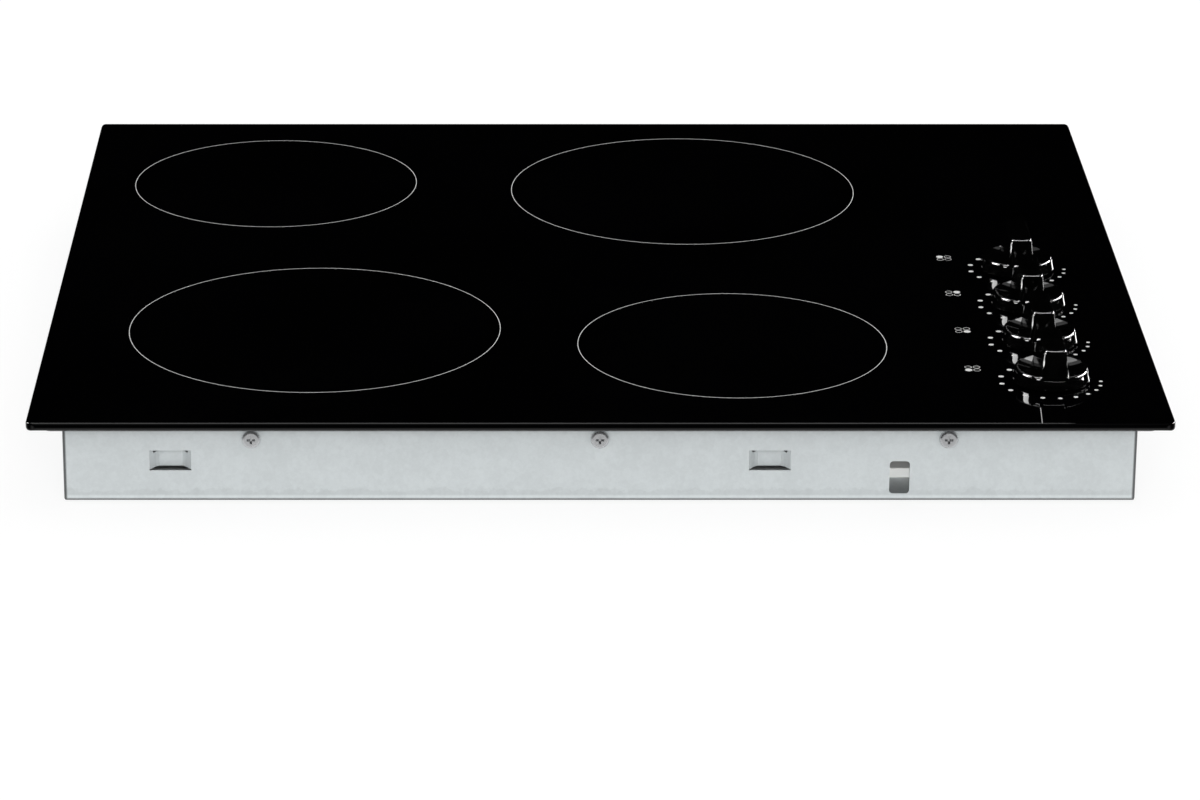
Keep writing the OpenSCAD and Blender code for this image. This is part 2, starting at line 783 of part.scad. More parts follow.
module heat_sink(side) {
    pitch = (sink_w - sink_fin_t) / (sink_fin_count - 1);
    color([0.78, 0.79, 0.80])
        translate([power_board_x[side], power_board_y + sink_len / 2, parts_z]) rotate([90, 0, 0])
            linear_extrude(sink_len) union() {
                translate([-sink_w / 2, 0]) square([sink_w, sink_base_t]);
                for (k = [0:sink_fin_count - 1]) translate([-sink_w / 2 + k * pitch, 0])
                    square([sink_fin_t, sink_h]);
            }
}

// Parts of one power board: switches against the heat sink, capacitors, chokes and screw posts.
module power_parts(side) {
    gap = 0.5;
    transistor = [4.6, 16];
    transistor_pitch = 28;
    capacitor = [14, 31, 13];
    capacitor_pitch = 40;
    capacitor_edge = 8;              // from the side of the board
    choke_d = 20;
    choke_bore = 9;
    choke_h = 9;
    choke_edge = 13;
    can_d = 8;
    can_h = 7;
    can_pitch = 12;
    capacitor_x = (power_board_w - capacitor[0]) / 2 - capacitor_edge;
    transistor_x = (sink_w + transistor[0]) / 2 + gap;
    color([0.15, 0.16, 0.18]) translate([power_board_x[side], power_board_y, parts_z]) {
        for (s = [-1, 1], k = [-1.5:1:1.5])
            translate([s * transistor_x - transistor[0] / 2,
                       k * transistor_pitch - transistor[1] / 2, 0])
                cube([transistor[0], transistor[1], sink_h]);
        for (s = [-1, 1], k = [-1, 0, 1])
            translate([s * capacitor_x - capacitor[0] / 2,
                       k * capacitor_pitch - capacitor[1] / 2, 0]) cube(capacitor);
        for (s = [-1, 1]) translate([s * choke_d, power_board_d / 2 - choke_edge, 0]) difference() {
            cylinder(d = choke_d, h = choke_h);
            translate([0, 0, -cut]) cylinder(d = choke_bore, h = choke_h + 2 * cut);
        }
        for (x = [-2:2]) translate([x * can_pitch, can_pitch - power_board_d / 2, 0])
            cylinder(d = can_d, h = can_h);
    }
}

module filter_board() {
    color([0.20, 0.42, 0.26]) board(filter_x, filter_y, filter_w, filter_d);
}

// Mains filter: two ring chokes, box capacitors, fuse and relay.
module filter_parts() {
    ring_r = 9;                      // of a choke, to the middle of its winding
    wound_r = 5;
    foot_cut = 0.4;                  // flat cut from under a choke
    choke_x = filter_w * 0.22;
    choke_y = filter_d * 0.26;
    left_x = -filter_w * 0.37;
    right_x = filter_w * 0.08;
    capacitor = [26, 11, 14];
    capacitor_pitch = 16;
    relay = [22, 16, 15];
    fuse_r = 3.2;
    fuse_len = 20;
    color([0.62, 0.56, 0.20]) translate([filter_x, filter_y, parts_z]) {
        for (s = [-1, 1]) translate([s * choke_x, choke_y, wound_r - foot_cut]) rotate_extrude()
            translate([ring_r, 0]) difference() {
                circle(r = wound_r);
                translate([-2 * wound_r, -3 * wound_r + foot_cut]) square([4 * wound_r, 2 * wound_r]);
            }
        for (k = [-2:0]) translate([left_x, k * capacitor_pitch - capacitor[1] / 2, 0]) cube(capacitor);
        translate([right_x, -capacitor_pitch - relay[1], 0]) cube(relay);
        translate([right_x, 0, fuse_r]) rotate([0, 90, 0]) cylinder(r = fuse_r, h = fuse_len);
    }
}

// ---------- cooling fans ----------

// Square housing with a round chamber, an inlet in its floor and an outlet to the front.
module fan_housing(side) {
    spoke_w = 3;
    outlet_lip = 2;
    outlet_h = fan_h - 2 * fan_floor_t - outlet_lip;
    color([0.12, 0.12, 0.13]) translate([fan_x[side], fan_y, base_top]) {
        difference() {
            linear_extrude(fan_h - fan_floor_t) round_rect(fan_size, fan_size, fan_corner_r);
            translate([0, 0, fan_floor_t]) cylinder(d = fan_chamber_d, h = fan_h);
            translate([0, 0, -cut]) cylinder(d = fan_inlet_d, h = fan_h);
            translate([fan_chamber_d / 2 - fan_outlet_w, -fan_size / 2 - cut, fan_floor_t])
                cube([fan_outlet_w - fan_wall, fan_size / 2 + cut, outlet_h]);
        }
        for (a = [90, 210, 330]) rotate(a) translate([0, -spoke_w / 2, 0])
            cube([fan_inlet_d / 2 + fan_wall, spoke_w, fan_floor_t]);
        cylinder(r = motor_r, h = fan_floor_t + motor_h);
        cylinder(d = fan_axle_d, h = fan_h - fan_floor_t - fan_clear);
    }
}

module fan_covers() {
    color([0.12, 0.12, 0.13]) for (x = fan_x)
        translate([x, fan_y, base_top + fan_h - fan_floor_t])
            linear_extrude(fan_floor_t) round_rect(fan_size, fan_size, fan_corner_r);
}

// Outline of one curved blade that ends at radius r.
module fan_blade(r, t, len) {
    bend = 0.85 * len;
    intersection() {
        translate([r - len / 2, -bend]) difference() {
            circle(r = bend + t / 2);
            circle(r = bend - t / 2);
        }
        translate([r - len, -len / 2]) square([len, 2 * len]);
        difference() {
            circle(r = r);
            circle(r = r - len);
        }
    }
}

// Radial rotor: hub, top disc, blades and bottom ring, on a fixed axle.
module fan_rotor(side) {
    z0 = fan_floor_t + fan_clear;
    z1 = fan_h - fan_floor_t - fan_clear;
    disc_t = 1.2;
    blade_t = 1;
    blade_l = 9;
    blade_inset = 0.5;
    ring_w = 3;
    r = fan_rotor_d / 2;
    cup_z = fan_floor_t + motor_h + fan_clear;
    color([0.22, 0.22, 0.24]) translate([fan_x[side], fan_y, base_top]) difference() {
        union() {
            translate([0, 0, z1 - disc_t]) cylinder(r = r, h = disc_t);
            difference() {
                translate([0, 0, z0]) cylinder(r = r, h = disc_t);
                translate([0, 0, z0 - cut]) cylinder(r = r - ring_w, h = disc_t + 2 * cut);
            }
            for (k = [0:fan_blades - 1]) rotate(k * 360 / fan_blades)
                translate([0, 0, z0 + disc_t / 2]) linear_extrude(z1 - z0 - disc_t)
                    fan_blade(r - blade_inset, blade_t, blade_l);
            translate([0, 0, cup_z]) cylinder(r = fan_hub_r, h = z1 - cup_z);
        }
        translate([0, 0, -cut]) cylinder(d = fan_axle_d + 2 * run_gap, h = fan_h + 2 * cut);
    }
}

// ---------- controls ----------

module control_bracket() {
    wall_x = bracket_half_w - bracket_flange_w;
    rise = case_h - bracket_plate_z;
    color([0.72, 0.73, 0.74]) difference() {
        translate([knob_x, bracket_y1, bracket_plate_z]) rotate([90, 0, 0])
            linear_extrude(bracket_y1 - bracket_y0) union() {
                translate([-wall_x, 0]) square([2 * wall_x, bracket_t]);
                for (s = [0, 1]) mirror([s, 0]) {
                    translate([wall_x - bracket_t, 0]) square([bracket_t, rise]);
                    translate([wall_x - bracket_t, rise - bracket_t])
                        square([bracket_flange_w + bracket_t, bracket_t]);
                }
            }
        for (y = knob_y) translate([knob_x, y, bracket_plate_z - cut])
            cylinder(d = switch_neck_d + 2 * fit_gap, h = bracket_t + 2 * cut);
    }
}

module control_board() {
    z = bracket_plate_z - switch_h - board_t;
    plug = [10, 30, 7];
    color([0.20, 0.42, 0.26]) union() {
        translate([knob_x - control_board_w / 2, bracket_y0, z])
            cube([control_board_w, bracket_y1 - bracket_y0, board_t]);
        translate([knob_x - plug[0] / 2, (knob_y[1] + knob_y[2] - plug[1]) / 2, z - plug[2]])
            cube(plug);
    }
}

module rotary_switches() {
    z = bracket_plate_z - switch_h;
    edge = 1;
    color([0.24, 0.25, 0.27]) for (y = knob_y) translate([knob_x, y, z]) difference() {
        union() {
            translate([0, 0, switch_h / 2]) cube([switch_size, switch_size, switch_h], center = true);
            cylinder(d = switch_neck_d, h = switch_h + switch_neck_h);
        }
        translate([0, 0, switch_floor_t])
            cylinder(d = spindle_d + 2 * run_gap, h = switch_h + switch_neck_h);
        for (x = [-1, 1]) translate([x * switch_size / 2, 0, switch_h / 2])
            cube([2 * edge, switch_size / 3, switch_h + cut], center = true);
    }
}

module switch_nuts() {
    color([0.80, 0.81, 0.82]) for (y = knob_y)
        translate([knob_x, y, bracket_plate_z + bracket_t]) difference() {
            cylinder(d = switch_nut_flats / cos(30), h = switch_nut_t, $fn = 6);
            translate([0, 0, -cut])
                cylinder(d = switch_neck_d + 2 * touch_gap, h = switch_nut_t + 2 * cut);
        }
}

module spindle_bushes() {
    color([0.08, 0.08, 0.08]) for (y = knob_y) translate([knob_x, y, case_h]) difference() {
        union() {
            translate([0, 0, -bush_barb_t]) cylinder(d = bush_barb_d, h = bush_barb_t);
            translate([0, 0, -bush_barb_t])
                cylinder(d = glass_hole_d - 2 * touch_gap, h = bush_barb_t + glass_t + bush_flange_t);
            translate([0, 0, glass_t]) cylinder(d = bush_flange_d, h = bush_flange_t);
        }
        translate([0, 0, -bush_barb_t - cut])
            cylinder(d = spindle_d + 2 * run_gap, h = glass_t + 4 * cut + bush_flange_t);
    }
}

module spindle(i) {
    z = bracket_plate_z - switch_h + switch_floor_t + run_gap;
    color([0.80, 0.80, 0.78]) translate([knob_x, knob_y[i], z])
        flat_bar(spindle_d, glass_top_z + spindle_reach - z, spindle_flat, spindle_flat_h);
}

// Knob: a round dished skirt crossed by a tapered grip bar that points to the back at rest.
module knob(i) {
    r = knob_d / 2;
    rim_r = r - skirt_flare;
    rim_top = knob_rim_h - knob_gap;
    dish_z = knob_rim_h + sqrt(dish_r * dish_r - pow(rim_r - dish_rim, 2));
    bar_slope = (bar_foot_w - bar_top_w) / 2 / (knob_h - knob_rim_h);
    bar_low_w = bar_foot_w + 2 * bar_slope * (knob_rim_h - knob_roof_z);
    color([0.03, 0.03, 0.035]) translate([knob_x, knob_y[i], glass_top_z]) difference() {
        union() {
            difference() {
                translate([0, 0, knob_gap]) rotate_extrude() union() {
                    polygon([[0, 0], [r - skirt_edge_r, 0], [r, skirt_edge_r],
                             [rim_r, rim_top - skirt_edge_r], [rim_r - skirt_edge_r, rim_top],
                             [0, rim_top]]);
                }
                translate([0, 0, dish_z]) sphere(r = dish_r, $fn = 128);
            }
            intersection() {
                rotate([90, 0, 0]) linear_extrude(knob_d, center = true) polygon([
                    [-bar_low_w / 2, knob_roof_z], [bar_low_w / 2, knob_roof_z],
                    [bar_top_w / 2, knob_h - skirt_edge_r], [bar_top_w / 2 - skirt_edge_r, knob_h],
                    [skirt_edge_r - bar_top_w / 2, knob_h], [-bar_top_w / 2, knob_h - skirt_edge_r]]);
                rotate_extrude() polygon([
                    [0, knob_gap], [r, knob_gap + skirt_edge_r], [rim_r, knob_rim_h - skirt_edge_r],
                    [rim_r - bar_lean, knob_h - skirt_edge_r],
                    [rim_r - bar_lean - skirt_edge_r, knob_h], [0, knob_h]]);
            }
        }
        translate([0, 0, knob_gap - cut]) difference() {
            cylinder(r = rim_r - knob_wall, h = knob_roof_z - knob_gap + cut);
            cylinder(d = knob_boss_d, h = knob_h);
        }
        difference() {
            cylinder(d = spindle_d + 2 * touch_gap, h = spindle_reach + fit_gap);
            translate([-r, spindle_d / 2 - spindle_flat + touch_gap,
                       spindle_reach - spindle_flat_h + 2 * fit_gap])
                cube([2 * r, r, spindle_flat_h]);
        }
    }
}

glass_top();
worktop_seal();
glass_adhesive();
glass_frame();
case_pan();
case_screws();
cable_gland();
gland_locknut();
terminal_block();
coil_tray();
tray_posts();
tray_screws();
coil_carrier(BACK_LEFT);  // coil_carrier_back_left
coil_carrier(BACK_RIGHT);  // coil_carrier_back_right
coil_carrier(FRONT_LEFT);  // coil_carrier_front_left
coil_carrier(FRONT_RIGHT);  // coil_carrier_front_right
coil_winding(BACK_LEFT);  // coil_winding_back_left
coil_winding(BACK_RIGHT);  // coil_winding_back_right
coil_winding(FRONT_LEFT);  // coil_winding_front_left
coil_winding(FRONT_RIGHT);  // coil_winding_front_right
ferrites(BACK_LEFT);  // ferrites_back_left
ferrites(BACK_RIGHT);  // ferrites_back_right
ferrites(FRONT_LEFT);  // ferrites_front_left
ferrites(FRONT_RIGHT);  // ferrites_front_right
insulator(BACK_LEFT);  // insulator_back_left
insulator(BACK_RIGHT);  // insulator_back_right
insulator(FRONT_LEFT);  // insulator_front_left
insulator(FRONT_RIGHT);  // insulator_front_right
sensor(BACK_LEFT);  // sensor_back_left
sensor(BACK_RIGHT);  // sensor_back_right
sensor(FRONT_LEFT);  // sensor_front_left
sensor(FRONT_RIGHT);  // sensor_front_right
coil_springs();
electronics_tray();
power_board(0);  // power_board_left
power_board(1);  // power_board_right
heat_sink(0);  // heat_sink_left
heat_sink(1);  // heat_sink_right
power_parts(0);  // power_parts_left
power_parts(1);  // power_parts_right
filter_board();
filter_parts();
fan_housing(0);  // fan_housing_left
fan_housing(1);  // fan_housing_right
fan_covers();
fan_rotor(0);  // fan_rotor_left
fan_rotor(1);  // fan_rotor_right
control_bracket();
control_board();
rotary_switches();
switch_nuts();
spindle_bushes();
spindle(0);  // spindle_1
spindle(1);  // spindle_2
spindle(2);  // spindle_3
spindle(3);  // spindle_4
knob(0);  // knob_1
knob(1);  // knob_2
knob(2);  // knob_3
knob(3);  // knob_4
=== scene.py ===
"""Finished looks for a built-in induction cooktop with four knobs, built round its packed frame."""

import math
from functools import cache

import bpy
from bpy.props import FloatProperty, FloatVectorProperty, IntProperty, PointerProperty
from bpy.types import NodeSocket, Operator, Panel, PropertyGroup
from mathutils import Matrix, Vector


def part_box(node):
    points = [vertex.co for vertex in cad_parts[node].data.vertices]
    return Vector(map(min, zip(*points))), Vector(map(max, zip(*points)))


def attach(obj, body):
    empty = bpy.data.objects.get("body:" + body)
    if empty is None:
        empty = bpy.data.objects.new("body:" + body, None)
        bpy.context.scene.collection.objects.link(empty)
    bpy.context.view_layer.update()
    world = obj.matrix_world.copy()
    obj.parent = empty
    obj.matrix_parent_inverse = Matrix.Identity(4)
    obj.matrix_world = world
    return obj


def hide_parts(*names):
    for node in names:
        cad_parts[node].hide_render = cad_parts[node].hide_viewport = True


bl_info = {
    "name": "Induction Cooktop",
    "version": (1, 0, 0),
    "blender": (4, 5, 0),
    "location": "3D View > Sidebar > Cooktop",
    "description": "Dresses the frame of a built-in cooktop with four zones and four knobs",
    "category": "Object",
}

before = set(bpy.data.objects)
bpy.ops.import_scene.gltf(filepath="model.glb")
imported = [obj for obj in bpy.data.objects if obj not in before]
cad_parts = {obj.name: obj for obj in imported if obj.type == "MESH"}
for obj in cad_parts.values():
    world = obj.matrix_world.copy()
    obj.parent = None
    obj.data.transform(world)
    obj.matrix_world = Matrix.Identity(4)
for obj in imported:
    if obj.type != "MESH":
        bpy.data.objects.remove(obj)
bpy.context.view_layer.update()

ZONES = ("back_left", "back_right", "front_left", "front_right")
LARGE_ZONES = ("back_right", "front_left")
KNOBS = (1, 2, 3, 4)
KNOB_ZONES = {1: "front_left", 2: "front_right", 3: "back_right", 4: "back_left"}
GLASS_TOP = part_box("glass_top")[1].z
KNOB_LOW, KNOB_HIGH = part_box("knob_1")
MM = 0.001


# ---------- sizes and colours ----------


def length(name, description, default):
    """A length that a user may change."""
    return FloatProperty(name=name, description=description, unit="LENGTH", default=default)


def angle(name, description, degrees):
    """An angle that a user may change."""
    return FloatProperty(name=name, description=description, subtype="ANGLE", default=math.radians(degrees))


def tint(name, description, default):
    """A colour that a user may change."""
    return FloatVectorProperty(
        name=name, description=description, subtype="COLOR", size=3, min=0, max=1, default=default
    )


def amount(name, description, default):
    """A plain number that a user may change."""
    return FloatProperty(name=name, description=description, default=default)


class CooktopPrint(PropertyGroup):
    """The marks that are printed on the glass."""

    ink: tint("Ink", "Colour of the printed marks", (0.80, 0.80, 0.79))
    thickness: length("Thickness", "How far the marks stand above the glass", 0.05 * MM)
    small_ring: length("Small ring", "Diameter of the ring round a small zone", 165 * MM)
    large_ring: length("Large ring", "Diameter of the ring round a large zone", 200 * MM)
    ring_line: length("Ring line", "Width of the line of a zone ring", 0.36 * MM)
    scale_radius: length("Scale radius", "Distance from a knob's axis to its scale dots", 26.25 * MM)
    scale_dots: IntProperty(name="Scale dots", description="Number of dots on a knob's scale", default=12)
    scale_start: angle("Scale start", "Turn from the off position to the first dot", 91)
    scale_step: angle("Scale step", "Turn from the first dot to the second one", 14.7)
    scale_growth: angle("Scale growth", "How much each step is wider than the one before it", 1.05)
    dot_small: length("Smallest dot", "Diameter of the first scale dot", 2.0 * MM)
    dot_large: length("Largest dot", "Diameter of the last scale dot", 3.0 * MM)
    icon_offset: FloatVectorProperty(
        name="Icon offset",
        description="From a knob's axis to the middle of its zone icon",
        subtype="XYZ",
        unit="LENGTH",
        size=2,
        default=(-39.2 * MM, 19 * MM),
    )
    icon_circle: length("Icon circle", "Diameter of a circle of a zone icon", 3.8 * MM)
    icon_pitch: length("Icon pitch", "Distance between the circles of a zone icon", 4.4 * MM)
    icon_line: length("Icon line", "Width of the line of an icon circle", 0.27 * MM)


class CooktopKnob(PropertyGroup):
    """The shape of a knob, with heights above the glass."""

    plastic: tint("Plastic", "Colour of the knobs", (0.0006, 0.0006, 0.0006))
    diameter: length("Diameter", "Diameter of the skirt at its foot", KNOB_HIGH.x - KNOB_LOW.x)
    rim_diameter: length("Rim diameter", "Diameter of the skirt at its rim", 38.4 * MM)
    height: length("Height", "Top of the grip bar above the glass", KNOB_HIGH.z - GLASS_TOP)
    gap: length("Gap", "Underside of the skirt above the glass", KNOB_LOW.z - GLASS_TOP)
    rim_height: length("Rim height", "Rim of the skirt above the glass", 8.3 * MM)
    dish_radius: length("Dish radius", "Radius of the hollow face on both sides of the grip bar", 55 * MM)
    bar_top: length("Bar top", "Width of the grip bar on top", 11.6 * MM)
    bar_foot: length("Bar foot", "Width of the grip bar at the height of the rim", 15.5 * MM)
    bar_reach: length("Bar reach", "Distance from the axis to the end of the bar's top", 18.8 * MM)
    edge: length("Edge", "Rounding of the knob's edges", 1.0 * MM)
    corner: length("Corner", "Rounding of the bar's upright corners", 3.3 * MM)


class CooktopFinish(PropertyGroup):
    """Main colours of the glass and of the metal round it."""

    glass: tint("Glass", "Colour of the glass-ceramic", (0.0004, 0.0004, 0.0005))
    zinc: tint("Zinc", "Colour of the galvanised sheet", (0.62, 0.66, 0.67))
    copper: tint("Copper", "Colour of the lacquered winding wire", (0.52, 0.21, 0.09))
    board: tint("Circuit board", "Colour of the solder mask", (0.020, 0.125, 0.050))


class CooktopStage(PropertyGroup):
    """The camera, the lamps and the floor."""

    lens: amount("Lens", "Focal length of the camera in millimetres", 147.59)
    camera_place: FloatVectorProperty(
        name="Camera place",
        description="Where the camera stands",
        subtype="XYZ",
        unit="LENGTH",
        size=3,
        default=(-0.0498, -2.6157, 0.9386),
    )
    camera_pitch: angle("Camera pitch", "How far the camera looks down", 20.407)
    camera_shift: amount("Camera shift", "Sideways shift of the picture as a share of its width", 0.0805)
    floor_colour: tint("Floor", "Colour of the floor", (0.62, 0.62, 0.62))
    shadow_depth: FloatProperty(
        name="Shadow depth",
        description="Share of the floor's colour that takes shadows",
        subtype="FACTOR",
        default=0.35,
    )
    floor_glow: amount("Floor glow", "Light of its own that keeps the floor white", 0.82)
    mirrored_floor: amount("Mirrored floor", "Brightness of the near floor in glass and metal", 0.8)
    mirrored_far: amount("Mirrored far floor", "Brightness of the far floor in glass and metal", 0.02)
    floor_edge: length("Floor edge", "Where the near floor starts to fade, out from the glass", 82 * MM)
    floor_fade: length("Floor fade", "How far the near floor takes to fade", 36 * MM)
    sky_level: amount("Room level", "Brightness of the room on matt surfaces", 0.95)
    ceiling: amount("Ceiling", "Brightness of the ceiling in glass and metal", 0.35)


# ---------- meshes ----------


def piece(name, verts, faces, material, body):
    """Makes one closed smooth mesh that moves with a body of the frame."""
    mesh = bpy.data.meshes.new(name)
    mesh.from_pydata(verts, [], faces)
    mesh.validate()
    mesh.materials.append(material)
    mesh.polygons.foreach_set("use_smooth", [True] * len(mesh.polygons))
    made = bpy.data.objects.new(name, mesh)
    bpy.context.scene.collection.objects.link(made)
    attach(made, body)
    return made


def soften(made):
    """Lets the broad faces of a piece set its shading."""
    weighted = made.modifiers.new("Even shading", "WEIGHTED_NORMAL")
    weighted.weight = 90
    weighted.keep_sharp = True


def grid_faces(columns, rows, start=0, wrap_rows=False):
    """Quads over columns that close on themselves, each of so many rows."""
    faces = []
    last = rows if wrap_rows else rows - 1
    for c in range(columns):
        here = start + c * rows
        there = start + (c + 1) % columns * rows
        for r in range(last):
            s = (r + 1) % rows
            faces.append((here + r, here + s, there + s, there + r))
    return faces


def turn_points(verts, centre, section, steps):
    """Adds the (radius, height) points of a section, turned round an upright axis."""
    for k in range(steps):
        a = 2 * math.pi * k / steps
        for r, z in section:
            verts.append((centre.x + r * math.cos(a), centre.y + r * math.sin(a), centre.z + z))


def turned_ring(verts, faces, centre, section, steps):
    """Adds a ring with a closed section."""
    start = len(verts)
    turn_points(verts, centre, section, steps)
    faces.extend(grid_faces(steps, len(section), start, wrap_rows=True))


def turned_dot(verts, faces, centre, section, steps):
    """Adds a solid of revolution from an open section that starts and ends at the axis."""
    top = len(verts)
    verts.append((centre.x, centre.y, centre.z + section[0][1]))
    verts.append((centre.x, centre.y, centre.z + section[-1][1]))
    rim = section[1:-1]
    start = len(verts)
    turn_points(verts, centre, rim, steps)
    rows = len(rim)
    faces.extend(grid_faces(steps, rows, start))
    for k in range(steps):
        n = (k + 1) % steps
        faces.append((top, start + k * rows, start + n * rows))
        faces.append((top + 1, start + n * rows + rows - 1, start + k * rows + rows - 1))


def line_section(radius, width, height):
    """Section of a printed line with a low crown, sunk a little into the glass."""
    half = width / 2
    return [
        (radius - half, -height / 2),
        (radius + half, -height / 2),
        (radius + half, height * 0.4),
        (radius + half * 0.7, height * 0.85),
        (radius, height),
        (radius - half * 0.7, height * 0.85),
        (radius - half, height * 0.4),
    ]


def dot_section(radius, height):
    """Section of a printed dot with a low crown, sunk a little into the glass."""
    return [
        (0, height),
        (radius * 0.6, height * 0.95),
        (radius * 0.9, height * 0.8),
        (radius, height * 0.4),
        (radius, -height / 2),
        (radius * 0.5, -height / 2),
        (0, -height / 2),
    ]


def on_glass(node, x=0.0, y=0.0):
    """Point on the glass above the middle of a part of the frame, moved by x and y."""
    low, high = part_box(node)
    middle = (low + high) / 2
    return Vector((middle.x + x, middle.y + y, GLASS_TOP))


# ---------- shader groups ----------

COLOUR = "NodeSocketColor"
VALUE = "NodeSocketFloat"
# Places of a mix node's factor, first and second input and its output, by its type of data.
MIX_SOCKETS = {"FLOAT": (0, 2, 3, 0), "RGBA": (0, 6, 7, 2)}


def feed(tree, value, socket):
    """Links an output to a socket, or gives the socket a constant."""
    if isinstance(value, NodeSocket):
        tree.links.new(value, socket)
    else:
        socket.default_value = value


def add(tree, kind, inputs=None, **options):
    """Adds a shader node, sets its options and feeds its inputs with outputs or constants."""
    node = tree.nodes.new("ShaderNode" + kind)
    for key, value in options.items():
        setattr(node, key, value)
    for label, value in (inputs or {}).items():
        feed(tree, value, node.inputs[label])
    return node


def calculate(tree, operation, *values):
    """A sum on outputs or constants."""
    return add(tree, "Math", dict(enumerate(values)), operation=operation).outputs["Value"]


def blend(tree, data_type, factor, first, second, **options):
    """Mixes two colours or values by a factor."""
    *places, result = MIX_SOCKETS[data_type]
    inputs = dict(zip(places, (factor, first, second)))
    return add(tree, "Mix", inputs, data_type=data_type, **options).outputs[result]


def blend_shaders(tree, factor, first, second):
    """Mixes two shaders by a factor."""
    return add(tree, "MixShader", {0: factor, 1: first, 2: second}).outputs["Shader"]


def mapped(tree, value, start, end, first, last):
    """Maps a value from start..end to first..last, and no further."""
    limits = {"Value": value, "From Min": start, "From Max": end, "To Min": first, "To Max": last}
    return add(tree, "MapRange", limits).outputs["Result"]


def rises(tree, value, start, end):
    """A smooth step from 0 at the start to 1 at the end."""
    limits = {"Value": value, "From Min": start, "From Max": end}
    return add(tree, "MapRange", limits, interpolation_type="SMOOTHSTEP").outputs["Result"]


def falls(tree, value, start, end):
    """A straight fall from 1 at the start to 0 at the end."""
    return mapped(tree, value, start, end, 1.0, 0.0)


def object_place(tree):
    """The place on the object."""
    return add(tree, "TexCoord").outputs["Object"]


def world_place(tree):
    """The place in the scene, as separate X, Y and Z."""
    place = add(tree, "NewGeometry").outputs["Position"]
    return add(tree, "SeparateXYZ", {"Vector": place}).outputs


def noise(tree, scale, detail, roughness):
    """Noise over the place on the object."""
    inputs = {"Vector": object_place(tree), "Scale": scale, "Detail": detail, "Roughness": roughness}
    return add(tree, "TexNoise", inputs).outputs["Fac"]


def open_group(name, inputs, outputs):
    """Starts a node group with inputs of given defaults; returns its tree and its inputs."""
    tree = bpy.data.node_groups.new(name, "ShaderNodeTree")
    for label, value in inputs.items():
        kind = COLOUR if isinstance(value, tuple) else VALUE
        socket = tree.interface.new_socket(name=label, in_out="INPUT", socket_type=kind)
        socket.default_value = value
    for label, kind in outputs.items():
        tree.interface.new_socket(name=label, in_out="OUTPUT", socket_type=kind)
    return tree, tree.nodes.new("NodeGroupInput").outputs


def close_group(tree, results):
    """Feeds the outputs of a node group."""
    last = tree.nodes.new("NodeGroupOutput")
    for label, value in results.items():
        feed(tree, value, last.inputs[label])
    return tree


@cache
def tone_patches():
    """Group: soft patches of two close tones."""
    tree, given = open_group(
        "Tone patches",
        {"Dark tone": (0.1, 0.1, 0.1, 1), "Light tone": (0.2, 0.2, 0.2, 1), "Patches per metre": 60.0},
        {"Tone": COLOUR},
    )
    mask = rises(tree, noise(tree, given["Patches per metre"], 4.0, 0.55), 0.36, 0.64)
    return close_group(tree, {"Tone": blend(tree, "RGBA", mask, given["Dark tone"], given["Light tone"])})


@cache
def uneven_gloss():
    """Group: roughness that wanders between two values."""
    tree, given = open_group(
        "Uneven gloss",
        {"Smoothest": 0.3, "Roughest": 0.4, "Patches per metre": 40.0},
        {"Roughness": VALUE},
    )
    mask = rises(tree, noise(tree, given["Patches per metre"], 5.0, 0.6), 0.35, 0.65)
    return close_group(tree, {"Roughness": blend(tree, "FLOAT", mask, given["Smoothest"], given["Roughest"])})


@cache
def surface_grain():
    """Group: height of a fine grain."""
    tree, given = open_group("Surface grain", {"Grains per metre": 900.0}, {"Height": VALUE})
    return close_group(tree, {"Height": noise(tree, given["Grains per metre"], 2.0, 0.5)})


@cache
def drawn_lines():
    """Group: long fine lines of rolled or drawn metal, along X."""
    tree, given = open_group(
        "Drawn lines",
        {"Lines per metre": 900.0, "Stretch": 0.02},
        {"Height": VALUE},
    )
    shape = add(tree, "CombineXYZ", {"X": given["Stretch"], "Y": 1.0, "Z": 1.0})
    scaled = add(tree, "Mapping", {"Scale": shape.outputs["Vector"], "Vector": object_place(tree)})
    inputs = {"Vector": scaled.outputs["Vector"], "Scale": given["Lines per metre"], "Detail": 2.0}
    return close_group(tree, {"Height": add(tree, "TexNoise", inputs).outputs["Fac"]})


@cache
def zinc_spangle():
    """Group: the crystals and faint stains of galvanised sheet."""
    tree, given = open_group(
        "Zinc spangle",
        {
            "Dark tone": (0.5, 0.53, 0.54, 1),
            "Light tone": (0.66, 0.69, 0.7, 1),
            "Crystals per metre": 130.0,
            "Smoothest": 0.3,
            "Roughest": 0.5,
        },
        {"Tone": COLOUR, "Roughness": VALUE, "Height": VALUE},
    )
    inputs = {"Vector": object_place(tree), "Scale": given["Crystals per metre"], "Smoothness": 0.35}
    crystals = add(tree, "TexVoronoi", inputs, feature="SMOOTH_F1")
    parts = add(tree, "SeparateColor", {"Color": crystals.outputs["Color"]}).outputs
    stains = noise(tree, 60.0, 6.0, 0.62)
    fine = noise(tree, 420.0, 4.0, 0.7)
    height = calculate(tree, "MULTIPLY_ADD", parts["Red"], 0.3, stains)
    height = calculate(tree, "MULTIPLY_ADD", fine, 1.3, height)
    mask = rises(tree, height, 0.9, 1.7)
    results = {
        "Tone": blend(tree, "RGBA", mask, given["Dark tone"], given["Light tone"]),
        "Roughness": blend(tree, "FLOAT", parts["Green"], given["Smoothest"], given["Roughest"]),
        "Height": height,
    }
    return close_group(tree, results)


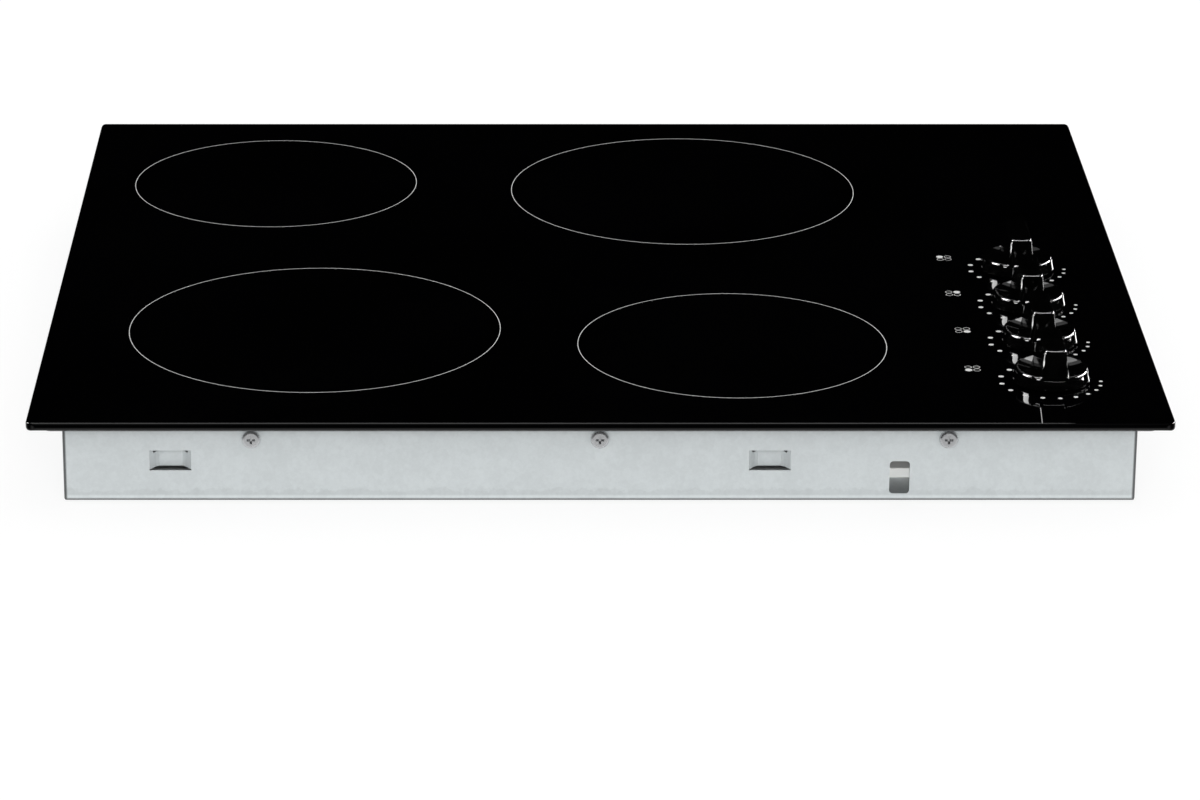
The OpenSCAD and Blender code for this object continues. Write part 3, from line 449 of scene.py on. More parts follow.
@cache
def edge_shade_and_stain():
    """Group: masks of painted shade along the bends at the case's corners and foot, of a painted highlight
    band just above the foot, and of a stain band above that.
    """
    tree, given = open_group(
        "Edge shade and stain",
        {"Half width": 0.28, "Half depth": 0.24, "Bend": 0.002},
        {"Painted bend shade": VALUE, "Painted sheen band": VALUE, "Stained": VALUE},
    )
    # All limits are in bend radii: in from a side of the case, or up from its underside.
    # The bend mask paints shade along the corner and foot bends, and the band just above the foot is a
    # painted highlight; only the wandering stain is the sheet's own.
    side_shade_fade = (0.6, 1.0)
    foot_shade_fade = (0.5, 0.85)
    sheen_start, sheen_end = (0.85, 1.1), (1.3, 1.9)
    stain_start, stain_end, stain_wander = (1.4, 2.0), (0.4, 0.9), 5.0
    place = world_place(tree)
    near = []
    for axis, half in (("X", "Half width"), ("Y", "Half depth")):
        gap = calculate(tree, "SUBTRACT", given[half], calculate(tree, "ABSOLUTE", place[axis]))
        near.append(falls(tree, calculate(tree, "DIVIDE", gap, given["Bend"]), *side_shade_fade))
    corner = calculate(tree, "MINIMUM", *near)
    wall = calculate(tree, "MAXIMUM", *near)
    rise = calculate(tree, "DIVIDE", place["Z"], given["Bend"])
    foot = calculate(tree, "MINIMUM", wall, falls(tree, rise, *foot_shade_fade))
    wander = calculate(tree, "MULTIPLY", noise(tree, 150.0, 5.0, 0.65), stain_wander)
    level = calculate(tree, "SUBTRACT", rise, wander)
    results = {
        "Painted bend shade": calculate(tree, "MAXIMUM", corner, foot),
        "Painted sheen band": calculate(tree, "MULTIPLY", rises(tree, rise, *sheen_start), falls(tree, rise, *sheen_end)),
        "Stained": calculate(
            tree, "MULTIPLY", rises(tree, rise, *stain_start), falls(tree, level, *stain_end)
        ),
    }
    return close_group(tree, results)


@cache
def board_tracks():
    """Group: tracks and pads under the solder mask of a circuit board."""
    tree, given = open_group(
        "Board tracks",
        {"Mask tone": (0.02, 0.12, 0.05, 1), "Track tone": (0.05, 0.2, 0.08, 1), "Tracks per metre": 160.0},
        {"Tone": COLOUR, "Height": VALUE},
    )
    inputs = {"Vector": object_place(tree), "Scale": given["Tracks per metre"], "Randomness": 0.75}
    cells = add(tree, "TexVoronoi", inputs, feature="DISTANCE_TO_EDGE")
    track = rises(tree, cells.outputs["Distance"], 0.05, 0.11)
    tone = blend(tree, "RGBA", track, given["Track tone"], given["Mask tone"])
    return close_group(tree, {"Tone": tone, "Height": track})


# ---------- materials ----------


def group_node(tree, group, **values):
    """Places a shader group in a material, with its own values."""
    node = add(tree, "Group", node_tree=group)
    for label, value in values.items():
        node.inputs[label.replace("_", " ").capitalize()].default_value = value
    return node.outputs


def shade(colour, factor=1.0):
    """A colour made lighter or darker, with its alpha."""
    return tuple(min(1.0, c * factor) for c in colour[:3]) + (1.0,)


def new_material(name, shader):
    """A material with only a Principled shader, and constants on the shader's own sockets."""
    material = bpy.data.materials.new(name)
    material.use_nodes = True
    tree = material.node_tree
    principled = tree.nodes["Principled BSDF"].inputs
    for label, value in shader.items():
        principled[label.replace("_", " ")].default_value = value
    return material, tree, principled


def bump_from(tree, height, principled, strength, distance):
    """Feeds a height to the shader's normal."""
    inputs = {"Height": height, "Strength": strength, "Distance": distance}
    tree.links.new(add(tree, "Bump", inputs).outputs["Normal"], principled["Normal"])


def add_gloss(tree, principled, gloss, patches):
    """Lets the roughness wander between two values."""
    rough = group_node(tree, uneven_gloss(), smoothest=gloss[0], roughest=gloss[1], patches_per_metre=patches)
    tree.links.new(rough["Roughness"], principled["Roughness"])


def patchy(name, colour, factors, patches, gloss, gloss_patches, shader):
    """A material with patches of two tones and uneven gloss."""
    material, tree, principled = new_material(name, shader)
    dark, light = (shade(colour, factor) for factor in factors)
    tone = group_node(tree, tone_patches(), dark_tone=dark, light_tone=light, patches_per_metre=patches)
    tree.links.new(tone["Tone"], principled["Base Color"])
    add_gloss(tree, principled, gloss, gloss_patches)
    return material, tree, principled


def moulded(name, colour, vary, patches, gloss, grains, depth, **shader):
    """A material with soft tone patches, uneven gloss and a fine grain."""
    factors = (1 - vary, 1 + vary)
    material, tree, principled = patchy(name, colour, factors, patches, gloss, patches * 1.7, shader)
    grain = group_node(tree, surface_grain(), grains_per_metre=grains)
    bump_from(tree, grain["Height"], principled, 0.35, depth)
    return material


def drawn_metal(name, colour, vary, gloss, lines, depth, **shader):
    """Metal with the long lines of rolling or extrusion."""
    shader.setdefault("Metallic", 1.0)
    material, tree, principled = patchy(name, colour, (1 - vary, 1 + vary), 45.0, gloss, 90.0, shader)
    drawn = group_node(tree, drawn_lines(), lines_per_metre=lines)
    bump_from(tree, drawn["Height"], principled, 0.4, depth)
    return material


def galvanised(name, colour, case):
    """Zinc-coated sheet with faint crystals, painted shade along its bends, a painted highlight band just
    above the foot and a stained foot.
    """
    material, tree, principled = new_material(name, {"Metallic": 0.1})
    dark, light = shade(colour, 0.95), shade(colour, 1.04)
    tones = {"dark_tone": dark, "light_tone": light}
    zinc = group_node(tree, zinc_spangle(), **tones, crystals_per_metre=260.0, smoothest=0.36, roughest=0.52)
    low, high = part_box(case)
    half = (high - low) / 2
    edges = group_node(tree, edge_shade_and_stain(), half_width=half.x, half_depth=half.y, bend=2 * MM)
    tone = zinc["Tone"]
    # The stain darkens the sheet itself; the bright band is a painted highlight and the dark bends are
    # painted shade.
    for mask, factor in (("Stained", 0.93), ("Painted sheen band", 1.12), ("Painted bend shade", 0.16)):
        grey = (factor, factor, factor, 1)
        tone = blend(tree, "RGBA", edges[mask], tone, grey, blend_type="MULTIPLY", clamp_result=False)
    tree.links.new(tone, principled["Base Color"])
    tree.links.new(zinc["Roughness"], principled["Roughness"])
    bump_from(tree, zinc["Height"], principled, 0.15, 0.05 * MM)
    return material


def circuit_board(name, colour):
    """Laminate with tracks under a glossy solder mask."""
    material, tree, principled = new_material(name, {"Coat_Weight": 0.4, "Coat_Roughness": 0.15})
    tracks = group_node(
        tree, board_tracks(), mask_tone=shade(colour), track_tone=shade(colour, 1.9), tracks_per_metre=170.0
    )
    tree.links.new(tracks["Tone"], principled["Base Color"])
    add_gloss(tree, principled, (0.28, 0.42), 120.0)
    bump_from(tree, tracks["Height"], principled, 0.4, 0.04 * MM)
    return material


def litz_wire(name, colour):
    """Winding of many fine twisted strands under clear lacquer."""
    shader = {"Metallic": 0.85, "Coat_Weight": 0.5, "Coat_Roughness": 0.2}
    material, tree, principled = patchy(name, colour, (0.7, 1.25), 700.0, (0.25, 0.45), 300.0, shader)
    inputs = {"Vector": object_place(tree), "Scale": 620.0, "Distortion": 1.5}
    strands = add(tree, "TexWave", inputs, bands_direction="DIAGONAL")
    bump_from(tree, strands.outputs["Fac"], principled, 0.6, 0.2 * MM)
    return material


def dress(nodes, material):
    """Gives parts of the frame a material."""
    for name in nodes:
        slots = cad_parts[name].data.materials
        slots.clear()
        slots.append(material)


def print_ink(marks):
    """The fired enamel of the printed marks, made once."""
    made = bpy.data.materials.get("Printed enamel")
    if made is None:
        made = moulded("Printed enamel", marks.ink, 0.06, 500.0, (0.35, 0.5), 4000.0, 0.01 * MM)
    return made


# ---------- glass and its prints ----------


class COOKTOP_OT_glass(Operator):
    """Finishes the glass-ceramic top and the foam and silicone under it"""

    bl_idname = "cooktop.glass"
    bl_label = "Glass"

    def execute(self, context):
        colour = context.scene.cooktop_finish.glass
        glass = moulded(
            "Black glass-ceramic", colour, 0.2, 9.0, (0.02, 0.035), 25.0, 0.0, Specular_IOR_Level=0.3
        )
        tree = glass.node_tree
        ground = add(tree, "Bevel", {"Radius": 1.2 * MM}, samples=12)
        tree.links.new(ground.outputs["Normal"], tree.nodes["Bump"].inputs["Normal"])
        dress(["glass_top"], glass)
        foam = moulded("Seal foam", (0.035, 0.035, 0.036), 0.25, 400.0, (0.85, 0.95), 2600.0, 0.3 * MM)
        dress(["worktop_seal"], foam)
        silicone = moulded("Silicone", (0.02, 0.02, 0.021), 0.2, 120.0, (0.4, 0.5), 600.0, 0.1 * MM)
        dress(["glass_adhesive"], silicone)
        return {"FINISHED"}


class COOKTOP_OT_zone_rings(Operator):
    """Prints a ring round each cooking zone"""

    bl_idname = "cooktop.zone_rings"
    bl_label = "Zone rings"

    def execute(self, context):
        marks = context.scene.cooktop_print
        ink = print_ink(marks)
        for zone in ZONES:
            across = marks.large_ring if zone in LARGE_ZONES else marks.small_ring
            section = line_section(across / 2, marks.ring_line, marks.thickness)
            verts, faces = [], []
            turned_ring(verts, faces, on_glass("insulator_" + zone), section, 256)
            piece("ring_" + zone, verts, faces, ink, "root")
        return {"FINISHED"}


class COOKTOP_OT_scale_dots(Operator):
    """Prints the growing scale dots round each knob"""

    bl_idname = "cooktop.scale_dots"
    bl_label = "Scale dots"

    def execute(self, context):
        marks = context.scene.cooktop_print
        ink = print_ink(marks)
        last = marks.scale_dots - 1
        for knob in KNOBS:
            verts, faces = [], []
            for n in range(marks.scale_dots):
                turn = marks.scale_start + marks.scale_step * n + marks.scale_growth * n * (n - 1) / 2
                x = marks.scale_radius * math.sin(turn)
                y = marks.scale_radius * math.cos(turn)
                across = marks.dot_small + (marks.dot_large - marks.dot_small) * n / last
                section = dot_section(across / 2, marks.thickness)
                turned_dot(verts, faces, on_glass(f"spindle_{knob}", x, y), section, 32)
            piece(f"scale_dots_{knob}", verts, faces, ink, "root")
        return {"FINISHED"}


class COOKTOP_OT_zone_icons(Operator):
    """Prints beside each knob four small circles, with the one of its zone filled"""

    bl_idname = "cooktop.zone_icons"
    bl_label = "Zone icons"

    def execute(self, context):
        marks = context.scene.cooktop_print
        ink = print_ink(marks)
        half = marks.icon_pitch / 2
        radius = marks.icon_circle / 2
        ring = line_section(radius - marks.icon_line / 2, marks.icon_line, marks.thickness)
        spot = dot_section(radius, marks.thickness)
        for knob, own_zone in KNOB_ZONES.items():
            verts, faces = [], []
            for zone in ZONES:
                x = marks.icon_offset[0] + (half if "right" in zone else -half)
                y = marks.icon_offset[1] + (half if "back" in zone else -half)
                place = on_glass(f"spindle_{knob}", x, y)
                if zone == own_zone:
                    turned_dot(verts, faces, place, spot, 40)
                else:
                    turned_ring(verts, faces, place, ring, 48)
            piece(f"zone_icon_{knob}", verts, faces, ink, "root")
        return {"FINISHED"}


# ---------- knobs ----------


def quadrant_angles():
    """Angles in degrees from the bar's direction over a quarter turn, closest round the bar's corners."""
    corner_start, corner_end, diagonal = 12.0, 29.0, 45.0
    fine, medium, coarse = 0.5, 2.5, 3.0
    angles = []
    turn = 0.0
    while turn < 90.0:
        angles.append(turn)
        if corner_start <= turn < corner_end:
            turn += fine
        else:
            turn += medium if turn < diagonal else coarse
    return angles


class KnobShape:
    """Works out the sections of a knob: a dished round skirt crossed by a grip bar."""

    rim_land = 0.9 * MM  # from the dish to the skirt's rim
    rim_opening = 0.8 * MM  # width of rim beside the bar over which the rim's rounding grows
    blend_height = 1.2 * MM  # height over which the bar's end grows out of the rim
    least_edge = 0.01 * MM
    side_hollow = 0.48  # share of the bar's side that curves inward
    top_shares = (0.3, 0.6, 0.85)
    edge_steps = 6
    wall_steps = 9
    face_steps = 24
    landing_steps = 40

    def __init__(self, sizes):
        self.s = sizes
        self.foot_radius = sizes.diameter / 2
        self.rim_radius = sizes.rim_diameter / 2
        self.dish_edge = self.rim_radius - self.rim_land
        rim_fall = (sizes.height - sizes.rim_height) / (sizes.height - sizes.gap)
        rim_share = (self.rim_radius - sizes.bar_reach) / (self.foot_radius - sizes.bar_reach)
        self.flare = math.log(rim_share) / math.log(rim_fall)
        self.dish_z = sizes.rim_height + math.sqrt(sizes.dish_radius ** 2 - self.dish_edge ** 2)

    def wall_radius(self, z):
        """Radius of the flared round wall that the bar's ends share with the skirt."""
        fall = (self.s.height - z) / (self.s.height - self.s.gap)
        return self.s.bar_reach + (self.foot_radius - self.s.bar_reach) * max(fall, 0.0) ** self.flare

    def half_width(self, z):
        """Half the bar's width at a height; its sides are a little hollow."""
        fall = 1 - (z - self.s.rim_height) / (self.s.height - self.s.rim_height)
        growth = (1 - self.side_hollow) * fall + self.side_hollow * fall * abs(fall)
        return (self.s.bar_top + (self.s.bar_foot - self.s.bar_top) * growth) / 2

    def bar_radius(self, turn, z, inset=0.0):
        """Distance from the axis to the bar's wall: an arc at the end, a round corner and a flat side."""
        side = self.half_width(z) - inset
        end = self.wall_radius(z) - inset
        corner = self.s.corner - inset
        across = abs(math.sin(turn))
        turn = math.atan2(across, abs(math.cos(turn)))
        reach = end - corner
        middle = math.asin((side - corner) / reach)
        if turn <= middle:
            return end
        if turn >= math.atan2(side, reach * math.cos(middle)):
            return side / across
        off = turn - middle
        return reach * math.cos(off) + math.sqrt(corner ** 2 - (reach * math.sin(off)) ** 2)

    def face_z(self, radius, edge):
        """Height of the dish and of the rounded rim round it."""
        if radius <= self.dish_edge:
            return self.dish_z - math.sqrt(self.s.dish_radius ** 2 - radius ** 2)
        over = radius - (self.rim_radius - edge)
        if over <= 0:
            return self.s.rim_height
        return self.s.rim_height - edge + math.sqrt(max(edge * edge - over * over, 0.0))

    def landing(self, turn, edge):
        """Height at which the bar's wall meets the dish or the rim."""
        low, high = self.s.gap, self.s.height - self.s.edge
        for _ in range(self.landing_steps):
            z = (low + high) / 2
            if z > self.face_z(min(self.bar_radius(turn, z), self.rim_radius), edge):
                high = z
            else:
                low = z
        return (low + high) / 2

    def section(self, turn):
        """Points (radius, height) from the middle of the bar's top out and down to the skirt's rim."""
        s = self.s
        opening = (self.rim_radius - self.bar_radius(turn, s.rim_height)) / self.rim_opening
        opening = max(0.0, min(1.0, opening))
        edge = s.edge * opening * opening * (3 - 2 * opening) + self.least_edge
        points = [(share * self.bar_radius(turn, s.height, s.edge), s.height) for share in self.top_shares]
        for k in range(self.edge_steps + 1):
            a = math.pi / 2 * (1 - k / self.edge_steps)
            z = s.height - s.edge + s.edge * math.sin(a)
            points.append((self.bar_radius(turn, z, s.edge * (1 - math.cos(a))), z))
        land = self.landing(turn, edge)
        land_radius = min(self.bar_radius(turn, land), self.rim_radius)
        lift = max(0.0, self.blend_height - (self.rim_radius - land_radius))
        wall_start = s.height - s.edge
        for k in range(1, self.wall_steps + 1):
            z = wall_start + (land + lift - wall_start) * k / self.wall_steps
            points.append((self.bar_radius(turn, z), z))
        return points + self.face_path(turn, edge, land, land_radius, lift)

    def face_path(self, turn, edge, land, land_radius, lift):
        """Points across the dish and over the rim, close together at both ends."""
        run = self.rim_radius - land_radius
        total = lift + run + edge
        path = []
        for k in range(1, self.face_steps):
            done = total * (1 - math.cos(math.pi * k / self.face_steps)) / 2
            if done < lift:
                z = land + lift - done
                path.append((self.bar_radius(turn, z), z))
            else:
                # Flaw: where the wall runs straight into the skirt, the last of these points is on the glass.
                radius = self.rim_turn(land_radius, run, edge, min(1.0, (done - lift) / (run + edge)))
                path.append((radius, self.face_z(radius, edge) if radius < self.rim_radius else 0.0))
        low = self.s.rim_height - self.s.edge
        path.append((self.wall_radius(low), low))
        return path

    def rim_turn(self, start, run, edge, share):
        """Radius along the face: even on the dish, and slowing down over the rounded rim."""
        flat = max(run - edge, 0.0)
        gone = share * (flat + edge * math.pi / 2)
        if gone <= flat:
            return start + gone
        return min(self.rim_radius, start + flat + (run - flat) * math.sin((gone - flat) / edge))


def underside(shape, bore_radius, bore_top):
    """Points (radius, height) from the skirt's foot over the hollow and the hub to the top of the bore."""
    foot_round = 0.12 * MM
    skirt_wall = 2 * MM
    hub = 6 * MM
    hollow_top = 3.8 * MM
    chamfer = 0.2 * MM
    foot, gap = shape.foot_radius, shape.s.gap
    inner = foot - skirt_wall
    return [
        (foot, gap + foot_round),
        (foot - foot_round / 3, gap + foot_round / 3),
        (foot - foot_round, gap),
        (inner, gap),
        (inner, hollow_top - chamfer),
        (inner - chamfer, hollow_top),
        (hub + chamfer, hollow_top),
        (hub, hollow_top - chamfer),
        (hub, gap),
        (bore_radius, gap),
        (bore_radius, bore_top),
    ]


def knob_mesh(shape, bore_radius, bore_top):
    """Vertices and faces of one knob round its axis, with heights above the glass."""
    quarter = [math.radians(a) for a in quadrant_angles()]
    turns = quarter + [math.pi / 2] + [math.pi - a for a in reversed(quarter[1:])]
    turns = turns + [a + math.pi for a in turns]
    under = underside(shape, bore_radius, bore_top)
    rim_z = shape.s.rim_height - shape.s.edge
    foot_z = under[0][1]
    heights = [rim_z + (foot_z - rim_z) * share for share in (0.25, 0.5, 0.75)]
    outside = [(shape.wall_radius(z), z) for z in heights]
    verts = [(0.0, 0.0, shape.s.height), (0.0, 0.0, bore_top)]
    for turn in turns:
        points = shape.section(turn) + outside + under
        verts.extend((radius * math.sin(turn), radius * math.cos(turn), z) for radius, z in points)
    columns = len(turns)
    rows = (len(verts) - 2) // columns
    faces = [tuple(reversed(f)) for f in grid_faces(columns, rows, 2)]
    for c in range(columns):
        here, there = 2 + c * rows, 2 + (c + 1) % columns * rows
        faces.append((0, there, here))
        faces.append((1, here + rows - 1, there + rows - 1))
    return verts, faces


class COOKTOP_OT_knobs(Operator):
    """Makes the four glossy black knobs"""

    bl_idname = "cooktop.knobs"
    bl_label = "Knobs"

    def execute(self, context):
        sizes = context.scene.cooktop_knob
        shine = {"Specular_IOR_Level": 0.3}
        gloss = (0.04, 0.07)
        plastic = moulded("Glossy black plastic", sizes.plastic, 0.15, 60.0, gloss, 300.0, 0.0, **shine)
        bore_radius = 3.05 * MM
        bore_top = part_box("spindle_1")[1].z - GLASS_TOP + 0.2 * MM
        verts, faces = knob_mesh(KnobShape(sizes), bore_radius, bore_top)
        for knob in KNOBS:
            foot = on_glass(f"spindle_{knob}")
            placed = [(x + foot.x, y + foot.y, z + foot.z) for x, y, z in verts]
            made = piece(f"grip_knob_{knob}", placed, faces, plastic, f"knob_{knob}")
            soften(made)
            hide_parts(f"knob_{knob}")
        return {"FINISHED"}


# ---------- case and inside ----------


class COOKTOP_OT_case(Operator):
    """Finishes the galvanised case, its frame, bracket and screws"""

    bl_idname = "cooktop.case"
    bl_label = "Case"

    def execute(self, context):
        zinc = galvanised("Galvanised sheet", context.scene.cooktop_finish.zinc, "case_pan")
        dress(["case_pan", "glass_frame", "control_bracket"], zinc)
        screw = drawn_metal(
            "Plated screw", (0.60, 0.61, 0.62), 0.08, (0.2, 0.32), 2600.0, 0.02 * MM, Metallic=0.85
        )
        dress(["case_screws", "tray_screws"], screw)
        return {"FINISHED"}


class COOKTOP_OT_coils(Operator):
    """Finishes the coils, their tray, ferrites, insulators and sensors"""

    bl_idname = "cooktop.coils"
    bl_label = "Coils"

    def execute(self, context):
        rolled = drawn_metal("Rolled aluminium", (0.78, 0.79, 0.80), 0.05, (0.28, 0.4), 1300.0, 0.02 * MM)
        dress(["coil_tray"], rolled)
        of_each_zone = {
            "coil_carrier_": moulded(
                "Carrier plastic", (0.30, 0.29, 0.27), 0.1, 80.0, (0.45, 0.6), 1500.0, 0.05 * MM
            ),
            "coil_winding_": litz_wire("Litz wire", context.scene.cooktop_finish.copper),
            "ferrites_": moulded("Ferrite", (0.028, 0.027, 0.029), 0.3, 300.0, (0.5, 0.7), 2200.0, 0.06 * MM),
            "insulator_": moulded(
                "Mica sheet", (0.58, 0.51, 0.38), 0.16, 110.0, (0.25, 0.5), 800.0, 0.06 * MM
            ),
            "sensor_": moulded(
                "Sensor ceramic", (0.74, 0.73, 0.69), 0.05, 250.0, (0.3, 0.42), 1500.0, 0.02 * MM
            ),
        }
        for part, material in of_each_zone.items():
            dress([part + zone for zone in ZONES], material)
        spring = drawn_metal("Spring steel", (0.50, 0.51, 0.53), 0.1, (0.25, 0.38), 2400.0, 0.02 * MM)
        dress(["coil_springs", "tray_posts"], spring)
        return {"FINISHED"}


class COOKTOP_OT_electronics(Operator):
    """Finishes the electronics tray, boards, heat sinks and parts"""

    bl_idname = "cooktop.electronics"
    bl_label = "Electronics"

    def execute(self, context):
        tray = moulded("Tray plastic", (0.66, 0.67, 0.66), 0.04, 60.0, (0.5, 0.62), 1600.0, 0.06 * MM)
        dress(["electronics_tray"], tray)
        boards = ["power_board_left", "power_board_right", "filter_board", "control_board"]
        dress(boards, circuit_board("Circuit board", context.scene.cooktop_finish.board))
        sink = drawn_metal("Extruded aluminium", (0.70, 0.71, 0.72), 0.06, (0.32, 0.45), 1800.0, 0.03 * MM)
        dress(["heat_sink_left", "heat_sink_right"], sink)
        parts = moulded("Component cases", (0.030, 0.031, 0.034), 0.25, 140.0, (0.35, 0.5), 1900.0, 0.04 * MM)
        dress(["power_parts_left", "power_parts_right"], parts)
        filters = moulded("Film capacitors", (0.62, 0.50, 0.13), 0.12, 120.0, (0.35, 0.5), 1400.0, 0.04 * MM)
        dress(["filter_parts"], filters)
        return {"FINISHED"}


class COOKTOP_OT_fans(Operator):
    """Finishes the two fans"""

    bl_idname = "cooktop.fans"
    bl_label = "Fans"

    def execute(self, context):
        housing = moulded("Fan plastic", (0.022, 0.022, 0.024), 0.15, 90.0, (0.38, 0.5), 1700.0, 0.05 * MM)
        dress(["fan_housing_left", "fan_housing_right", "fan_covers"], housing)
        rotor = moulded("Rotor plastic", (0.045, 0.045, 0.048), 0.12, 110.0, (0.3, 0.42), 1500.0, 0.03 * MM)
        dress(["fan_rotor_left", "fan_rotor_right"], rotor)
        return {"FINISHED"}


class COOKTOP_OT_mains_entry(Operator):
    """Finishes the cable gland, its locknut and the terminal block"""

    bl_idname = "cooktop.mains_entry"
    bl_label = "Mains entry"

    def execute(self, context):
        gland = moulded("Gland plastic", (0.10, 0.102, 0.105), 0.1, 150.0, (0.42, 0.55), 1800.0, 0.04 * MM)
        dress(["cable_gland", "gland_locknut"], gland)
        block = moulded("Terminal plastic", (0.66, 0.65, 0.60), 0.06, 120.0, (0.38, 0.5), 1500.0, 0.04 * MM)
        dress(["terminal_block"], block)
        return {"FINISHED"}


class COOKTOP_OT_controls(Operator):
    """Finishes the switches, nuts, spindles and the bushes in the glass"""

    bl_idname = "cooktop.controls"
    bl_label = "Controls"

    def execute(self, context):
        switch = moulded("Switch plastic", (0.42, 0.40, 0.34), 0.08, 100.0, (0.4, 0.52), 1500.0, 0.04 * MM)
        dress(["rotary_switches"], switch)
        plated = drawn_metal("Plated brass", (0.60, 0.60, 0.58), 0.08, (0.22, 0.34), 2400.0, 0.02 * MM)
        dress(["switch_nuts"] + [f"spindle_{knob}" for knob in KNOBS], plated)
        rubber = moulded("Bush rubber", (0.014, 0.014, 0.015), 0.2, 200.0, (0.6, 0.75), 2600.0, 0.05 * MM)
        dress(["spindle_bushes"], rubber)
        return {"FINISHED"}


# ---------- stage ----------

FLOOR_GAP = 0.1 * MM
FLOOR_HALF = 6.0
# The mirrored ceiling grows between two angles up. From left to right it fades to a share of itself.
CEILING_RISE = (math.radians(52), math.radians(72))
CEILING_FADE = (-0.10, 0.14)
CEILING_REST = 0.2

# Each lamp: its name, its place, the way that it faces, its width and height in metres, the brightness
# of its face, and the pieces that it works on. Matt lamps light the object and aren't mirrored in it.
MATT_LAMPS = (
    ("Front light", (-0.05, -2.75, 0.9), (0, 2.75, -0.85), (1.8, 1.2), 4.9, "all"),
    ("Back light", (0.8, 2.4, 1.8), (-0.8, -2.4, -1.8), (1.8, 1.2), 2.0, "all"),
    ("Slot lamp", (0.1533, -0.3174, 0.049), (0.0217, 0.9305, -0.366), (0.005, 0.005), 1150, "tray"),
)
# Glint lamps are only mirrored.
GLINT_LAMPS = (
    ("Left strip", (-1.97, -0.1, 1.4), (1, 0, 0), (0.8, 2.2), 90, "knobs"),
    ("Right strip", (2.18, 0.53, 0.6), (-1.85, -0.7, 0), (1.98, 0.5), 90, "knobs"),
    ("Top strip", (0.2, -0.85, 2.2), (0, 0.85, -2.15), (3.4, 0.5), 62, "knobs"),
    ("Back panel left", (0.064, 0.5, 0.965), (0, -1, 0), (0.273, 0.67), 3.4, "knobs"),
    ("Back panel right", (0.508, 0.5, 0.965), (0, -1, 0), (0.19, 0.67), 6.5, "knobs"),
    ("Back panel foot left", (0.064, 0.5, 0.565), (0, -1, 0), (0.273, 0.13), 0.6, "knobs"),
    ("Back panel foot right", (0.508, 0.5, 0.565), (0, -1, 0), (0.19, 0.13), 0.6, "knobs"),
    ("Glass edge lamp", (-0.05, 1.45, 1.45), (0, -1, -0.9), (1.1, 1.3), 1.0, "glass"),
    ("Glass edge lamp left", (-0.25, 1.45, 1.45), (0, -1, -0.9), (0.7, 1.3), 1.5, "glass"),
    ("Glass corner lamp left", (-2.1, 0.62, 0.97), (1.8, -0.88, -0.92), (0.9, 0.8), 60, "glass"),
    ("Glass corner lamp right", (2.1, 0.62, 0.97), (-1.8, -0.88, -0.92), (0.9, 0.8), 60, "glass"),
    ("Low lamp left", (-1.8, -0.1, 0.465), (1, 0, 0), (0.8, 0.07), 110, "all"),
    ("Low lamp right", (2.24, -0.1, 0.465), (-1, 0, 0), (1.2, 0.07), 150, "all"),
    ("Low lamp back", (1.34, 1.8, 0.62), (-1.1, -1.9, 0), (0.5, 0.22), 22, "all"),
)


def area_lamp(name, place, facing, size, brightness, only):
    """A lamp with a flat face, for all pieces or only for a collection of them."""
    data = bpy.data.lights.new(name, "AREA")
    data.shape = "RECTANGLE"
    data.size, data.size_y = size
    data.energy = brightness * math.pi * size[0] * size[1]
    made = bpy.data.objects.new(name, data)
    bpy.context.scene.collection.objects.link(made)
    made.location = place
    made.rotation_euler = Vector(facing).to_track_quat("-Z", "Y").to_euler()
    made.visible_camera = False
    if only:
        made.light_linking.receiver_collection = only
    return made


def place_lamps():
    """Matt lamps for the even light, and glint lamps for the glossy knobs, glass and metal."""
    pieces = {
        "knobs": [bpy.data.objects[f"grip_knob_{knob}"] for knob in KNOBS],
        "glass": [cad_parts["glass_top"]],
        "tray": [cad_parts["electronics_tray"]],
    }
    groups = {"all": None}
    for label, members in pieces.items():
        groups[label] = bpy.data.collections.new(label.capitalize())
        for made in members:
            groups[label].objects.link(made)
    for *lamp, label in MATT_LAMPS:
        area_lamp(*lamp, groups[label]).visible_glossy = False
    for *lamp, label in GLINT_LAMPS:
        area_lamp(*lamp, groups[label]).visible_diffuse = False


def distance_outside(tree, low, high):
    """How far a place is outside an upright box, seen from above; less than 0 inside."""
    place = world_place(tree)
    middle = (low + high) / 2
    sides = []
    for k in (0, 1):
        moved = calculate(tree, "SUBTRACT", place[k], middle[k])
        size = calculate(tree, "ABSOLUTE", moved)
        sides.append(calculate(tree, "SUBTRACT", size, (high[k] - low[k]) / 2))
    return calculate(tree, "MAXIMUM", *sides)


def floor_material(stage):
    """A pale floor that looks white and keeps the object's shadow."""
    material = bpy.data.materials.new("Pale floor")
    material.use_nodes = True
    tree = material.node_tree
    tree.nodes.clear()
    path = add(tree, "LightPath").outputs
    matt = add(tree, "BsdfDiffuse", {"Color": shade(stage.floor_colour)}).outputs["BSDF"]
    soft_colour = shade(stage.floor_colour, stage.shadow_depth)
    soft = add(tree, "BsdfDiffuse", {"Color": soft_colour}).outputs["BSDF"]
    glow = add(tree, "Emission", {"Strength": stage.floor_glow}).outputs["Emission"]
    white = add(tree, "AddShader", {0: soft, 1: glow}).outputs["Shader"]
    away = distance_outside(tree, *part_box("glass_top"))
    fade_end = stage.floor_edge + stage.floor_fade
    level = mapped(tree, away, stage.floor_edge, fade_end, stage.mirrored_floor, stage.mirrored_far)
    mirrored = add(tree, "Emission", {"Strength": level}).outputs["Emission"]
    unseen = blend_shaders(tree, path["Is Glossy Ray"], matt, mirrored)
    shown = blend_shaders(tree, path["Is Camera Ray"], unseen, white)
    # From below, and to a face that all but touches it, the floor isn't there.
    behind = add(tree, "NewGeometry").outputs["Backfacing"]
    touching = calculate(tree, "LESS_THAN", path["Ray Length"], 4 * FLOOR_GAP)
    gone = calculate(tree, "MAXIMUM", behind, touching)
    clear = add(tree, "BsdfTransparent").outputs["BSDF"]
    add(tree, "OutputMaterial", {"Surface": blend_shaders(tree, gone, shown, clear)})
    return material


